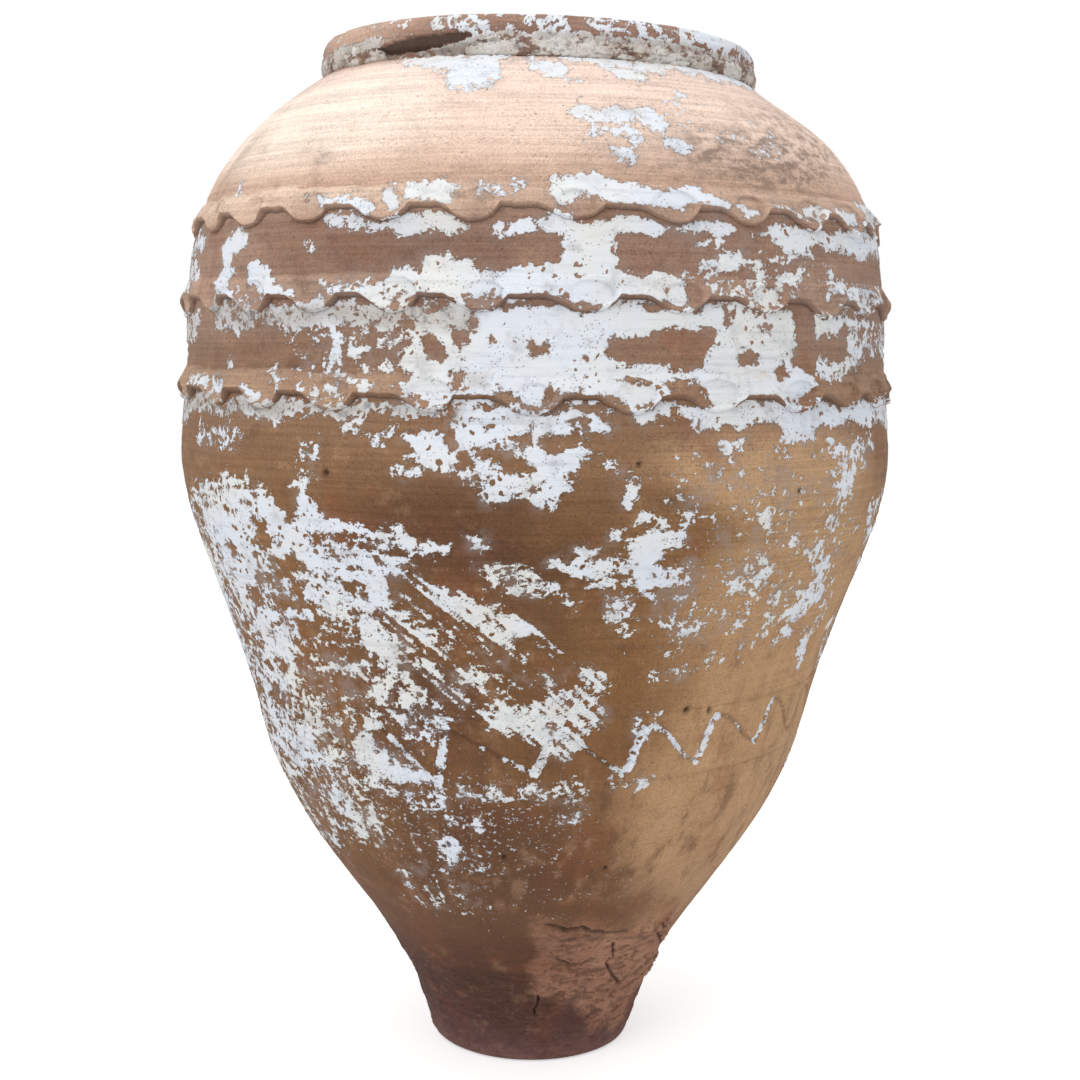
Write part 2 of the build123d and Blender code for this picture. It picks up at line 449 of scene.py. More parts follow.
MIDDLE_BAND_LIME = alike(
    Wear.CHIPPED,
    ((-47, 746), (-43, 747), (-42, 738), (-44, 732), (-46.5, 733)),
    ((-26.5, 760), (-24, 764), (-22, 755), (-20.5, 748), (-20, 736), (-22, 735), (-24, 742),
     (-28, 748)),
    ((31, 757), (34, 752), (35.5, 745), (33.5, 742), (31.5, 748))
) + alike(
    Wear.WORN,
    ((-57, 742), (-48, 741), (-40, 738), (-33, 741), (-26, 742), (-20, 735), (-14, 741), (-8, 737),
     (-8, 720), (-12, 717), (-18, 722), (-24, 718), (-30, 724), (-36, 719), (-42, 722), (-48, 717),
     (-52, 722), (-57, 718)), soiled=0.9
) + alike(
    Wear.WORN,
    ((52, 757), (60, 756), (66, 752), (66, 740), (58, 738), (52, 744))
)

LOWER_GIRDLE_LIME = alike(
    Wear.CHIPPED,
    ((-30, 724), (-28, 718), (-28, 702), (-29, 694), (-29, 686), (-24, 680), (-22, 676), (-22, 671),
     (-24, 670), (-27, 677), (-30.5, 682), (-30, 697), (-29.5, 708)),
    ((-27, 707), (-23, 706), (-24, 698), (-26, 693), (-22, 691), (-19, 691), (-18.5, 681),
     (-21, 683), (-25, 688), (-27.5, 698)),
    ((-20, 730), (-12, 726), (-11, 703), (-13, 690), (-14, 680), (-12, 676), (-13, 664), (-18, 667),
     (-19, 676), (-16, 680), (-18, 686), (-19, 694), (-17, 702), (-17, 716)),
    ((-12, 742), (-6, 738), (0, 738), (6, 732), (12, 741), (18, 733), (20, 731), (22, 735),
     (26, 741), (27, 730), (25, 722), (22, 727), (18, 724), (14, 719), (10, 716), (10.3, 700),
     (11, 692), (16, 690), (20, 688), (24, 692), (24, 700), (25, 707), (26.5, 720), (30, 735),
     (36, 738), (39.5, 737), (40, 728), (40, 710), (39.5, 697), (40, 688), (43, 683), (42, 676),
     (38, 668), (30, 672), (24, 676), (18, 680), (12, 678), (8, 674), (2, 672), (-2, 668),
     (-6, 672), (-10, 676), (-13, 683), (-15, 690), (-13, 697), (-11, 705), (-9, 713), (-11, 722)),
    ((44.5, 737), (52, 734), (60, 733), (66, 735), (66, 726), (60, 724), (56, 726), (53, 728),
     (52, 722), (46, 718), (44.5, 712))
) + alike(
    Wear.TRACES,
    ((-34, 722), (-12, 724), (-12, 672), (-34, 680)), edge_slope=0.3
) + alike(
    Wear.WORN,
    ((53, 722), (58, 718), (60, 705), (58, 695), (54, 690), (51, 684), (47, 680), (44.5, 690),
     (46, 698), (50, 693), (54, 700))
)

LOWER_BAND_LIME = alike(
    Wear.WORN,
    ((-65, 661), (-57, 662), (-52, 657), (-47, 662), (-42, 656), (-38, 662), (-33, 657), (-28, 655),
     (-24, 662), (-18, 657), (-14, 655), (-10, 658), (-10, 645), (-16, 648), (-22, 651), (-28, 646),
     (-34, 652), (-40, 642), (-46, 648), (-52, 644), (-58, 648), (-65, 645)), soiled=0.9
) + alike(
    Wear.CHIPPED,
    ((-57, 678), (-53, 676), (-52.5, 664), (-55, 660), (-57.5, 668)),
    ((-52.3, 693), (-51, 692), (-51, 684), (-52.2, 684)),
    ((-42, 681), (-40, 687), (-39, 679), (-37, 678), (-39, 670), (-40.5, 675)),
    ((-47, 672), (-45, 668), (-42.5, 662), (-41.5, 657), (-44, 656), (-46, 663)),
    ((-14, 690), (-10, 690), (0, 690), (10, 690), (11, 684), (16, 679), (19, 672), (17, 666),
     (14, 657), (10, 662), (3, 660.5), (0, 657), (-4, 660), (-10, 657), (-14, 658), (-15, 668),
     (-13, 676))
) + alike(
    Wear.WORN,
    ((-70, 676), (-61, 679), (-58, 674), (-62, 668), (-70, 668))
) + alike(
    Wear.CHIPPED,
    ((-9, 683), (-6.5, 683), (-6.5, 672), (-9, 672)), soiled=0.9
) + alike(
    Wear.SOUND,
    ((22.5, 690), (27, 692), (31, 690), (36, 694), (41, 690), (45, 684), (44, 674), (41, 668),
     (37, 664), (31, 668), (26, 658), (24, 662), (22.8, 672))
)

UNDER_BAND_LIME = alike(
    Wear.CHIPPED,
    ((-18, 640), (-19, 631), (-17, 625), (-18, 614), (-15, 607), (-12, 600), (-9, 601), (-7, 592),
     (-8, 582), (-6, 575), (-4, 588), (-1, 588), (1, 576), (3, 584), (5, 593), (5, 605), (9, 620),
     (7, 636), (10, 635), (11, 644), (9, 650), (13, 656), (1, 656), (-10, 660), (-13, 648),
     (-11, 638), (-11, 626), (-13, 635)),
    ((13, 657), (18, 662), (25, 658), (30, 660), (37, 664), (41, 655), (46, 662), (52, 655),
     (58, 660), (63, 655), (63, 640), (58, 636), (56, 645), (50, 641), (45, 640), (43.5, 628),
     (40, 624), (38, 632), (36, 645), (32, 646), (29, 640), (26, 648), (23, 637), (22, 648),
     (19, 655), (18, 648), (15, 645), (12, 650)),
    ((9, 612), (10.6, 614), (10, 608)), ((11, 608), (13, 610), (13, 605), (11, 605))
) + alike(
    Wear.WORN,
    ((26, 628), (30, 632), (29.5, 617), (27, 614)),
    ((-24, 632), (-23, 637), (-21, 633), (-19, 640), (-20, 625), (-22, 621)),
    ((-19.5, 606), (-18, 611), (-15, 607), (-15, 601), (-18, 598))
) + alike(
    Wear.BROKEN,
    ((49, 618), (54, 622), (60, 632), (62, 620), (57, 612), (60, 600), (55, 592), (50, 596),
     (48.5, 608)),
    ((-27, 645), (-24.5, 646), (-25, 637), (-27, 638))
) + alike(
    Wear.TRACES,
    ((-62, 632), (-48, 634), (-48, 618), (-61, 616)), sweep=Sweep.LEVEL
) + alike(
    Wear.TRACES,
    ((-34, 628), (-32, 628), (-32, 600), (-34, 600))
)

BELLY_LIME = alike(
    Wear.BROKEN,
    ((-88, 540), (-77, 560), (-58, 580), (-50, 592), (-44, 590), (-42, 570), (-40, 552), (-44, 540),
     (-42, 518), (-42, 484), (-45, 452), (-46, 420), (-44, 385), (-38, 366), (-36, 345), (-44, 318),
     (-61, 296), (-80, 296), (-92, 350), (-84, 430), (-96, 490)),
    ((-8, 524), (-2, 524), (3, 512), (3, 500), (-4, 506), (-7, 514)),
    ((11, 508), (14.4, 508), (15, 487), (13, 464), (11, 478)), sweep=Sweep.LEVEL
) + alike(
    Wear.WORN,
    ((-54, 574), (-43, 585), (-41, 556), (-37, 536), (-41, 518), (-46, 508), (-46, 483), (-48, 450),
     (-45, 433), (-48, 398), (-41, 382), (-38, 356), (-40, 335), (-55, 332), (-66, 351), (-65, 382),
     (-57, 424), (-57, 450), (-63, 472), (-60, 510), (-65, 536)),
    ((-29, 472), (-24, 470), (-22, 440), (-23, 416), (-26, 396), (-29, 400), (-30, 416), (-34, 424),
     (-33, 432), (-28, 434)),
    ((-9.5, 552), (-8, 556), (-6, 550), (-6.6, 541), (-8.8, 543)),
    ((20, 572), (22.5, 568), (21.5, 560), (20, 562)),
    ((-1, 507), (3, 509), (5, 500), (7, 497), (6.4, 490), (1.5, 499)),
    ((46, 528), (50, 540), (55, 512), (55, 483), (50, 462), (46, 470), (47, 488), (50, 500)),
    ((53, 438), (56, 437), (58, 418), (56, 408)), ((46, 458), (49, 455), (49.5, 445), (47, 447))
) + alike(
    Wear.CHIPPED,
    ((-58, 552), (-49, 558), (-47, 520), (-51, 480), (-53, 440), (-54, 470), (-56, 510)),
    sweep=Sweep.LEVEL
) + alike(
    Wear.WORN,
    ((-84, 546), (-72, 552), (-68, 500), (-70, 430), (-76, 372), (-86, 380), (-80, 430),
     (-92, 490)),
    ((-35, 590), (-32, 574), (-30, 558), (-20, 553), (-12, 540), (-19, 532), (-18, 520), (-22, 512),
     (-22, 504), (-27, 494), (-30, 510), (-36, 512), (-38, 530), (-36, 548)),
    ((1, 530), (6, 541), (9, 538), (11, 524), (12, 508), (9, 508), (6, 512), (4, 524)),
    ((13, 544), (16, 551), (21, 554), (21, 545), (17, 540), (18, 526), (23, 519), (24, 505),
     (18, 498), (15, 506), (14, 520), (12, 526)), sweep=Sweep.LEVEL
) + alike(
    Wear.CHIPPED,
    ((-49, 578), (-42, 588), (-39, 562), (-35, 538), (-39, 534), (-43, 555)),
    ((12, 599), (13.4, 601), (14.2, 587), (12.6, 577), (11.4, 587)),
    ((14, 572), (16, 573), (16, 563), (14, 563)), ((10.4, 558), (12.4, 557), (12, 549), (10.4, 549))
) + alike(
    Wear.BROKEN,
    ((-38, 514), (-29, 508), (-21, 505), (-23, 486), (-29, 470), (-34, 470), (-39, 485)),
    ((26, 522), (33, 534), (37, 524), (39, 506), (36, 492), (31, 504)),
    ((33, 569), (37, 574), (40, 552), (43, 551), (42, 538), (39, 537), (35, 554)),
    ((48, 602), (54, 600), (55, 574), (49, 578)),
    ((20, 472), (21, 486), (23, 475), (28, 477), (27, 466), (23, 463)),
    ((40, 489), (48, 489), (49, 478), (41, 480))
) + alike(
    Wear.CHIPPED,
    ((-20, 526), (-12, 507), (-4, 486), (1, 468), (-4, 454), (-10, 476), (-15, 491), (-17, 508)),
    sweep=Sweep.SLANTED
) + alike(
    Wear.BROKEN,
    ((-24, 422), (-18, 440), (-8, 426), (-8, 414), (-12, 399), (-18, 396), (-22, 402)),
    sweep=Sweep.SLANTED
) + alike(
    Wear.TRACES,
    ((-23, 490), (-13, 480), (-6, 462), (-6, 428), (-14, 432), (-22, 440)), sweep=Sweep.SLANTED,
    edge_slope=0.6
) + alike(
    Wear.WORN,
    ((-9, 392), (-5, 400), (0, 404), (2, 427), (4, 412), (6, 433), (11, 437), (13, 421), (11, 411),
     (13, 388), (9, 381), (9, 360), (6, 352), (3, 362), (-1, 372), (-8, 380)), sweep=Sweep.SLANTED
) + alike(
    Wear.TRACES,
    ((-46, 560), (-36, 552), (-30, 470), (-24, 400), (-36, 380), (-48, 392)), sweep=Sweep.LEVEL,
    edge_slope=0.4
) + alike(
    Wear.GHOST,
    ((-24, 500), (-8, 482), (2, 446), (2, 400), (-20, 398)), sweep=Sweep.SLANTED, edge_slope=0.4
) + alike(
    Wear.TRACES,
    ((33, 492), (37, 490), (39, 460), (35, 462)), ((20, 426), (26, 430), (26, 420), (20, 416))
) + alike(
    Wear.GHOST,
    ((24, 606), (56, 608), (58, 480), (36, 450), (16, 470), (18, 540)), edge_slope=0.3
)

LOWER_LIME = alike(
    Wear.WORN,
    ((-34, 364), (-31, 362), (-30, 352), (-24, 338), (-19, 323), (-28, 317), (-26, 308), (-31, 297),
     (-35, 322), (-38, 342)),
    ((-20.5, 263), (-18, 268), (-15.5, 263), (-16, 254), (-17.5, 240), (-18.6, 232), (-20, 246))
) + alike(
    Wear.BROKEN,
    ((-25, 384), (-12, 385), (-19, 360), (-23, 370)),
    ((-25, 311), (-17, 314), (-17, 298), (-25, 294)),
    ((18, 390), (23, 391), (22, 381), (20, 373), (18, 374)),
    ((-17, 290), (-11, 286), (-10, 280), (-16, 284)), ((6, 295), (9, 294), (9, 287), (6, 286))
) + alike(
    Wear.TRACES,
    ((-72, 300), (-41, 326), (-36, 310), (-29, 300), (-38, 256), (-72, 226)), edge_slope=0.4
) + alike(
    Wear.BROKEN,
    ((-46, 380), (-34, 384), (-34, 316), (-44, 310)), edge_slope=0.5
) + alike(
    Wear.BROKEN,
    ((-14, 319), (4, 321), (8, 326), (11, 312), (11, 301), (8, 306), (5, 314), (-14, 314)),
    sweep=Sweep.LEVEL
) + alike(
    Wear.TRACES,
    ((15, 327), (23, 327), (23, 322), (15, 322)), sweep=Sweep.LEVEL
) + alike(
    Wear.GHOST,
    ((-20, 246), (-13, 246), (-13, 186), (-20, 196)),
    ((-36, 256), (-24, 258), (-25, 184), (-36, 190)), sweep=Sweep.HANGING, edge_slope=0.5
)

SIDE_LIME = alike(
    Wear.WORN,
    ((62, 806), (98, 808), (104, 796), (92, 784), (80, 790), (72, 796), (64, 792)),
    ((56, 660), (100, 658), (118, 652), (104, 634), (76, 630), (66, 642), (58, 640)),
    ((64, 838), (90, 842), (104, 832), (90, 824), (70, 824))
) + alike(
    Wear.BROKEN,
    ((46, 735), (60, 734), (96, 732), (112, 722), (98, 702), (80, 692), (70, 706), (60, 700),
     (52, 716)),
    ((-84, 794), (-72, 796), (-66, 770), (-76, 756), (-86, 768))
) + alike(
    Wear.BROKEN,
    ((64, 560), (74, 578), (90, 552), (86, 500), (78, 480), (70, 512)), sweep=Sweep.LEVEL
) + alike(
    Wear.TRACES,
    ((66, 450), (80, 440), (90, 410), (84, 380), (72, 396))
) + alike(
    Wear.WORN,
    ((-86, 730), (-64, 736), (-66, 712), (-80, 704)),
    ((-84, 658), (-64, 660), (-68, 636), (-80, 634)), soiled=0.6
) + alike(
    Wear.GHOST,
    ((70, 330), (90, 340), (88, 280), (78, 250), (72, 290))
)

BARE_SPOTS = (
    ((5.2, 828), (8, 827), (9.8, 822), (8, 813), (5.5, 811), (4.6, 818)),
    ((-46.5, 743), (-44, 744), (-43.5, 738), (-45.5, 737)),
    ((-4.5, 735), (-2.5, 744), (1, 747), (4.5, 746), (5, 741), (1, 739), (-3, 737)),
    ((11, 746), (15, 745), (18, 743), (17.5, 740), (12, 741)),
    ((20.5, 757), (23, 757), (25, 750), (24.5, 742), (22, 733), (20.8, 740)),
    ((23, 746), (30.5, 747), (30.5, 743), (23, 743)),
    ((0.5, 656), (2, 674), (3, 670), (10, 667), (12.5, 658), (10, 663), (3, 661)),
    ((-5, 669), (-3, 669), (-2.2, 663), (-3, 659), (-5, 661)),
    ((-8, 625), (-3, 625), (0, 606), (-3, 600), (-5, 613), (-8, 616)),
    ((-3, 634), (-1, 638), (0, 628), (-2, 619)),
    ((-10.4, 621), (-9, 621), (-7.8, 607), (-10.4, 605)),
    ((3, 647), (6, 651), (8.4, 648), (4, 643)),
    ((0, 628), (1, 634), (6, 637), (10, 634), (8, 627), (6, 628), (2, 619)),
    ((-1.4, 592), (-1, 598), (1, 597), (0, 589)),
    ((-56, 474), (-53, 488), (-50, 491), (-50, 474), (-53, 469)),
    ((-52, 420), (-50, 424), (-49, 406), (-52, 404)),
    ((-56, 528), (-54, 532), (-53, 518), (-56, 514)),
    ((-45.5, 560), (-42, 554), (-43, 522), (-46.5, 534)),
    ((-16, 714), (-14, 716), (-12, 704), (-13, 695), (-15, 697)),
    ((-19, 727), (-17, 727), (-17, 719), (-19, 719)), ((-9, 730), (-8, 730), (-8, 721), (-9, 721)),
    ((-12, 687), (-10, 685), (-9.5, 672), (-11, 672)),
    ((29, 706), (31.5, 709), (33, 698), (31, 690), (29.5, 694)),
    ((33, 724), (35, 726), (35, 718), (33, 718)), ((-1.5, 710), (1.5, 711), (2, 702), (-1, 700)),
    ((36, 690), (37.5, 694), (38.5, 684), (36.5, 680)),
)

SPECKLED = (
    Cloud(-38, 330, 42, 170, 0.95), Cloud(-8, 280, 34, 110, 0.95),
    Cloud(12, 420, 22, 90, 0.5), Cloud(38, 530, 36, 110, 0.75),
    Cloud(-4, 215, 60, 95, 0.7), Cloud(-25, 520, 34, 90, 0.5),
    Cloud(-30, 705, 34, 50, 0.45), Cloud(-45, 630, 30, 40, 0.45),
    Cloud(50, 700, 26, 60, 0.5), Cloud(20, 890, 26, 40, 0.4),
    Cloud(165, 420, 70, 200, 0.5), Cloud(-130, 560, 50, 160, 0.45))


@dataclass(frozen=True)
class LimeCoat:
    """What is left of the whitewash, as fields over the wall."""

    patches: tuple[LimePatch, ...] = (
        SHOULDER_LIME + UPPER_BAND_LIME + UPPER_GIRDLE_LIME + MIDDLE_BAND_LIME
        + LOWER_GIRDLE_LIME + LOWER_BAND_LIME + UNDER_BAND_LIME + BELLY_LIME + LOWER_LIME
        + SIDE_LIME)
    bare_spots: tuple[Outline, ...] = BARE_SPOTS
    speckled: tuple[Cloud, ...] = SPECKLED
    edge_play: float = 13.0
    least_play: float = 0.28
    calm_size: float = 42.0
    spot_play: float = 0.3
    soil_and_shade_edge: float = 6.0
    haze_reach: float = 13.0
    haze_inside: float = 4.0
    haze_specks: float = 0.3
    thickness: float = 0.8
    edge: Pair = (-0.6, 0.9)
    repeat: float = 180.0
    drift: float = 9.0
    swings: float = 4.0
    drifting: Pair = (90.0, 130.0)
    flaked: Grain = Grain(44.0, 36.0, 410, 5, 0.85)
    level: Grain = Grain(90.0, 11.0, 420, 4, 0.8)
    slanted: Grain = Grain(6.0, 100.0, 430, 2, 0.9, 1.3)
    hanging: Grain = Grain(16.0, 70.0, 440, 3, 0.8)

    def drifted(self, turn: Array) -> Array:
        """Lets the patches, which come again on the unseen back, drift a little there.

        Args:
            turn: Turns in degrees.

        Returns:
            Turns at which the patches are looked up.
        """
        turn = turn_apart(turn, 0.0)
        swing = np.sin(np.radians(self.swings * turn)) * smooth(np.abs(turn), *self.drifting)
        return turn + self.drift * swing

    def coat(self, lime: Array) -> Array:
        """Gives the thickness of the coat where the lime field has a value, in millimetres."""
        return self.thickness * smooth(lime, *self.edge)

    def wear(self, turn: Array, height: Array) -> dict[Sweep, Array]:
        """Gives how the edges of patches have crumbled, for each way of wear, in millimetres."""
        flaked, level, slanted, hanging = (
            grain.at(turn, height)
            for grain in (self.flaked, self.level, self.slanted, self.hanging))
        return {
            Sweep.FLAKED: self.edge_play * flaked,
            Sweep.LEVEL: self.edge_play * (0.8 * level + 0.7 * flaked),
            Sweep.SLANTED: self.edge_play * (0.8 * slanted + 0.6 * flaked),
            Sweep.HANGING: self.edge_play * (0.7 * hanging + 0.5 * flaked),
        }

    def fields(self, turn: Array, height: Array) -> Layers:
        """Works out the whitewash at points of the wall.

        Args:
            turn: Turns in degrees.
            height: Heights in millimetres.

        Returns:
            The lime in millimetres inside its edge, its haze, its soiling with painted shade, its
            specks and fray.
        """
        seen = self.drifted(turn)
        worn = self.wear(turn, height)
        lime, closest = (np.full(np.shape(turn), FAR) for _ in range(2))
        soil, fray = np.zeros(np.shape(turn)), np.ones(np.shape(turn))
        for patch in self.patches:
            depth = inset(seen, height, patch.outline, period=self.repeat)
            near = depth > FAR
            if not near.any():
                continue
            depth = depth[near]
            play = np.clip(patch.size() / self.calm_size, self.least_play, 1.0)
            left = np.minimum(depth * patch.edge_slope, patch.wear.value)
            left = left + play * worn[patch.sweep][near]
            fray[near] = np.where(left > lime[near], patch.fray(), fray[near])
            lime[near] = np.maximum(lime[near], left)
            closest[near] = np.maximum(closest[near], depth)
            # Lime under the bands' ledges is made greyer and beige, partly as dirt and partly as
            # painted shade.
            soiled = patch.soiled * smooth(depth, -self.soil_and_shade_edge, self.soil_and_shade_edge)
            soil[near] = np.maximum(soil[near], soiled)
        for outline in self.bare_spots:
            depth = inset(seen, height, outline, period=self.repeat)
            near = depth > FAR
            cut = -depth[near] + self.spot_play * worn[Sweep.FLAKED][near]
            lime[near] = np.minimum(lime[near], cut)
        haze = smooth(closest, -self.haze_reach, self.haze_inside)
        specks = strongest(self.speckled, turn, height, self.haze_specks * haze)
        return {"lime": np.clip(lime, BARE, -BARE), "haze": haze, "soil": soil, "specks": specks,
                "fray": fray}


@dataclass(frozen=True)
class WaveFrieze:
    """Wave drawn in the wet clay with a blunt stick, between two turned lines.

    A stroke of the front is drawn by its foot and its crest, each as a turn and a height.
    """

    drawn: tuple[tuple[float, float, float, float], ...] = (
        (-52.0, 330.0, -47.0, 373.0), (-35.5, 328.0, -30.5, 376.0), (-18.0, 322.0, -15.5, 373.0),
        (0.5, 337.0, 4.0, 372.0), (17.0, 335.0, 20.0, 378.0), (32.0, 340.0, 35.0, 381.0),
        (47.5, 348.0, 50.5, 385.0), (62.0, 346.0, 66.0, 384.0))
    count: int = 22
    seed: int = 77
    foot_play: Pair = (-0.8, 0.8)
    foot_rise: Pair = (-6.0, 6.0)
    crest_turn: Pair = (2.6, 4.8)
    crest_rise: Pair = (-5.0, 6.0)
    bends: int = 9
    foot_height: float = 334.0
    crest_height: float = 376.0
    crest_width: float = 1.2
    rising_half: float = 3.9
    falling_half: float = 2.3
    depth: float = 2.2
    burr: float = 0.9
    burr_off: float = 0.7
    line_half_width: float = 1.9
    line_depth: float = 1.0
    upper_line: float = 388.0
    lower_line: float = 324.0
    line_tilt: float = 5.0
    lowest: float = 300.0
    highest: float = 405.0
    per_degree: float = pi / 180.0 * 277.0
    reach: float = 9.0
    rounded_from: float = 8.0
    rounded_bend: float = 0.85
    straight_bend: float = 0.25
    lime_middle: float = -6.0
    lime_turn: float = 72.0
    lime_fade: float = 20.0
    lime_loss: float = 12.0
    rising_fill: float = 0.4
    falling_fill: float = -4.0
    filled_turns: Outline = ((-31.0, -17.0), (19.0, 36.0))
    wander: float = 0.35
    wandering: Grain = Grain(30.0, 14.0, 74)

    def strokes(self) -> tuple[list[Outline], list[Outline]]:
        """Draws the strokes up to each crest, and those down from it to the next foot.

        Returns:
            Rising and falling strokes, as turns and heights.
        """
        first, last = self.drawn[0], self.drawn[-1]
        missing = self.count - len(self.drawn)
        step = (first[0] + 360.0 - last[0]) / (missing + 1)
        draw = np.random.default_rng(self.seed)
        ends = list(self.drawn)
        for index in range(1, missing + 1):
            foot = last[0] + index * step + draw.uniform(*self.foot_play)
            ends.append((foot, self.foot_height + draw.uniform(*self.foot_rise),
                         foot + draw.uniform(*self.crest_turn),
                         self.crest_height + draw.uniform(*self.crest_rise)))
        ends.append((first[0] + 360.0, *first[1:]))
        even = [i / self.bends for i in range(self.bends + 1)]
        rising, falling = [], []
        for (foot, low, crest, high), following in zip(ends[:-1], ends[1:]):
            bend = self.rounded_bend if foot > self.rounded_from else self.straight_bend
            eased = [bend * (1 - cos(pi * part)) / 2 + (1 - bend) * part for part in even]
            top = crest + self.crest_width
            rising.append(tuple((foot + (crest - foot) * part, low + (high - low) * ease)
                                for part, ease in zip(even, eased)))
            falling.append(((crest, high),) + tuple(
                (top + (following[0] - top) * part, high + (following[1] - high) * ease)
                for part, ease in zip(even, eased)))
        return rising, falling

    def cut(self, turn: Array, height: Array) -> tuple[Array, Array]:
        """Works out the drawn wave and its lines.

        Args:
            turn: Turns in degrees.
            height: Heights in millimetres.

        Returns:
            Depth of the cut in millimetres, negative on its burrs, and the lime left in it.
        """
        depth, lime = np.zeros(np.shape(turn)), np.full(np.shape(turn), FAR)
        close = (height > self.lowest) & (height < self.highest)
        if not close.any():
            return depth, lime
        turn, height = turn[close], height[close]
        wander = self.wander * self.wandering.at(turn, height)
        cut, left = np.zeros(turn.shape), np.full(turn.shape, FAR)
        seen = smooth(-np.abs(turn_apart(turn, self.lime_middle)),
                      -self.lime_turn, self.lime_fade - self.lime_turn)
        for lines, half, fill in zip(self.strokes(), (self.rising_half, self.falling_half),
                                     (self.rising_fill, self.falling_fill)):
            away = np.minimum.reduce([
                away_from(turn + wander, height, line, self.reach, self.per_degree)
                for line in lines])
            groove = np.clip(1.0 - (away / half) ** 2, 0.0, 1.0)
            inner = half - np.minimum(away, 99.0)
            burr = self.burr * np.exp(-(-inner - self.burr_off) ** 2)
            cut = np.where(groove > 0.0, np.maximum(cut, self.depth * groove), cut - burr)
            kept = np.full(turn.shape, fill)
            for start, end in self.filled_turns:
                kept[(turn > start) & (turn < end)] = self.rising_fill
            kept = inner + kept - self.lime_loss * (1.0 - seen)
            left = np.maximum(left, np.where(inner > -1.0, kept, FAR))
        tilt = self.line_tilt * np.sin(np.radians(turn))
        for level in (self.upper_line, self.lower_line):
            off = (height - level - tilt) / self.line_half_width
            cut = np.maximum(cut, np.clip(1.0 - off ** 2, 0.0, 1.0) * self.line_depth)
        depth[close], lime[close] = cut, left
        return depth, lime


@dataclass(frozen=True)
class FootDecay:
    """Rough, crusted and cracked clay of the foot, where moisture has risen."""

    crusts: tuple[Outline, ...] = (
        ((5, 169), (16, 164), (26, 153), (32, 152), (41, 153), (47, 156), (70, 110), (74, 76),
         (59, 50), (60, 26), (35, 34), (17, 66), (3, 76), (5, 126)),
        ((120, 140), (150, 150), (165, 90), (140, 30), (112, 60)),
        ((-150, 120), (-122, 130), (-106, 60), (-140, 25)),
    )
    cracks: tuple[Outline, ...] = (
        ((29, 138), (31, 122), (30, 112), (33, 104), (39, 90), (42, 80), (38, 73)),
        ((46, 152), (50, 138), (55, 126), (64, 106)),
        ((5, 170), (11, 162), (16, 164), (24, 152), (33, 150)),
        ((3, 78), (4, 68), (2, 57)),
        ((10, 128), (15, 116), (22, 118)),
        ((150, 150), (146, 120), (152, 96), (146, 70)),
        ((-130, 140), (-126, 112), (-132, 90)),
    )
    highest: float = 260.0
    per_degree: float = 2.6
    crust_reach: float = 20.0
    dry_above: float = 145.0
    damp_below: float = 95.0
    crust_edge: Pair = (-5.0, 7.0)
    pale_edge: Pair = (-17.0, 14.0)
    pale_drift: float = 1.4
    drift: float = 16.0
    flake_depth: float = 1.7
    terraces: float = 3.2
    terrace_height: float = 1.7
    riser: Pair = (0.7, 1.0)
    shadow_start: Pair = (0.5, 0.72)
    shadow_end: Pair = (-0.98, -0.85)
    hollow: Pair = (1.6, 3.0)
    shadow: float = 0.5
    crack_bend: float = 2.4
    crack_half_width: float = 1.9
    crack_play: float = 0.8
    crack_reach: float = 6.0
    crack_depth: float = 3.2
    crust_height: float = 1.4
    rough_share: float = 0.35
    paleness: float = 0.25
    drifting: Grain = Grain(60.0, 22.0, 52, 5, 0.75)
    bending: Grain = Grain(60.0, 13.0, 61)
    widening: Grain = Grain(60.0, 20.0, 67, 2)
    flaking: Grain = Grain(110.0, 8.0, 58, 4, 0.75)
    ledges: Grain = Grain(150.0, 15.0, 68, 4, 0.55)

    def fields(self, turn: Array, height: Array) -> tuple[Array, Array, Array, Array]:
        """Works out the decay at points of the wall.

        Args:
            turn: Turns in degrees.
            height: Heights in millimetres.

        Returns:
            Lift in millimetres, painted shade in the cracks and along the crust's steps, the
            roughness, and where the crust is.
        """
        flat = np.zeros(np.shape(turn))
        if not (height < self.highest).any():
            return flat, flat, flat, flat
        drift = self.drift * self.drifting.at(turn, height)
        rough = smooth(-height + drift, -self.dry_above, -self.damp_below)
        crust = crack = pale = flat
        for outline in self.crusts:
            inside = inset(turn, height, outline, self.crust_reach, self.per_degree)
            crust = np.maximum(crust, smooth(inside + drift, *self.crust_edge))
            bleached = smooth(inside + self.pale_drift * drift, *self.pale_edge)
            pale = np.maximum(pale, bleached)
        bent = turn + self.crack_bend * self.bending.at(turn, height)
        width = self.crack_half_width + self.crack_play * self.widening.at(turn, height)
        for line in self.cracks:
            away = away_from(bent, height, line, self.crack_reach, self.per_degree)
            crack = np.maximum(crack, np.clip(1.0 - (away / width) ** 2, 0.0, 1.0))
        flakes = self.flaking.at(turn, height)
        ledges = self.terraces * self.ledges.at(turn, height)
        part = ledges - np.floor(ledges)
        steps = np.floor(ledges) + smooth(part, *self.riser)
        ragged = self.terrace_height * (steps + 0.5) + self.flake_depth * flakes
        lift = crust * (self.crust_height + ragged) + self.rough_share * rough * ragged
        lift = lift - self.crack_depth * crack
        # Painted shade: a dark line along each step of the crust and in its hollows, added to the
        # painted shade of the cracks.
        sunk = smooth(part, *self.shadow_start) * smooth(-part, *self.shadow_end)
        sunk = self.shadow * np.maximum(sunk, smooth(-ragged, *self.hollow))
        dark = np.maximum(crack, np.maximum(crust, 0.5 * rough) * sunk)
        return lift, dark, np.maximum(rough, crust), pale


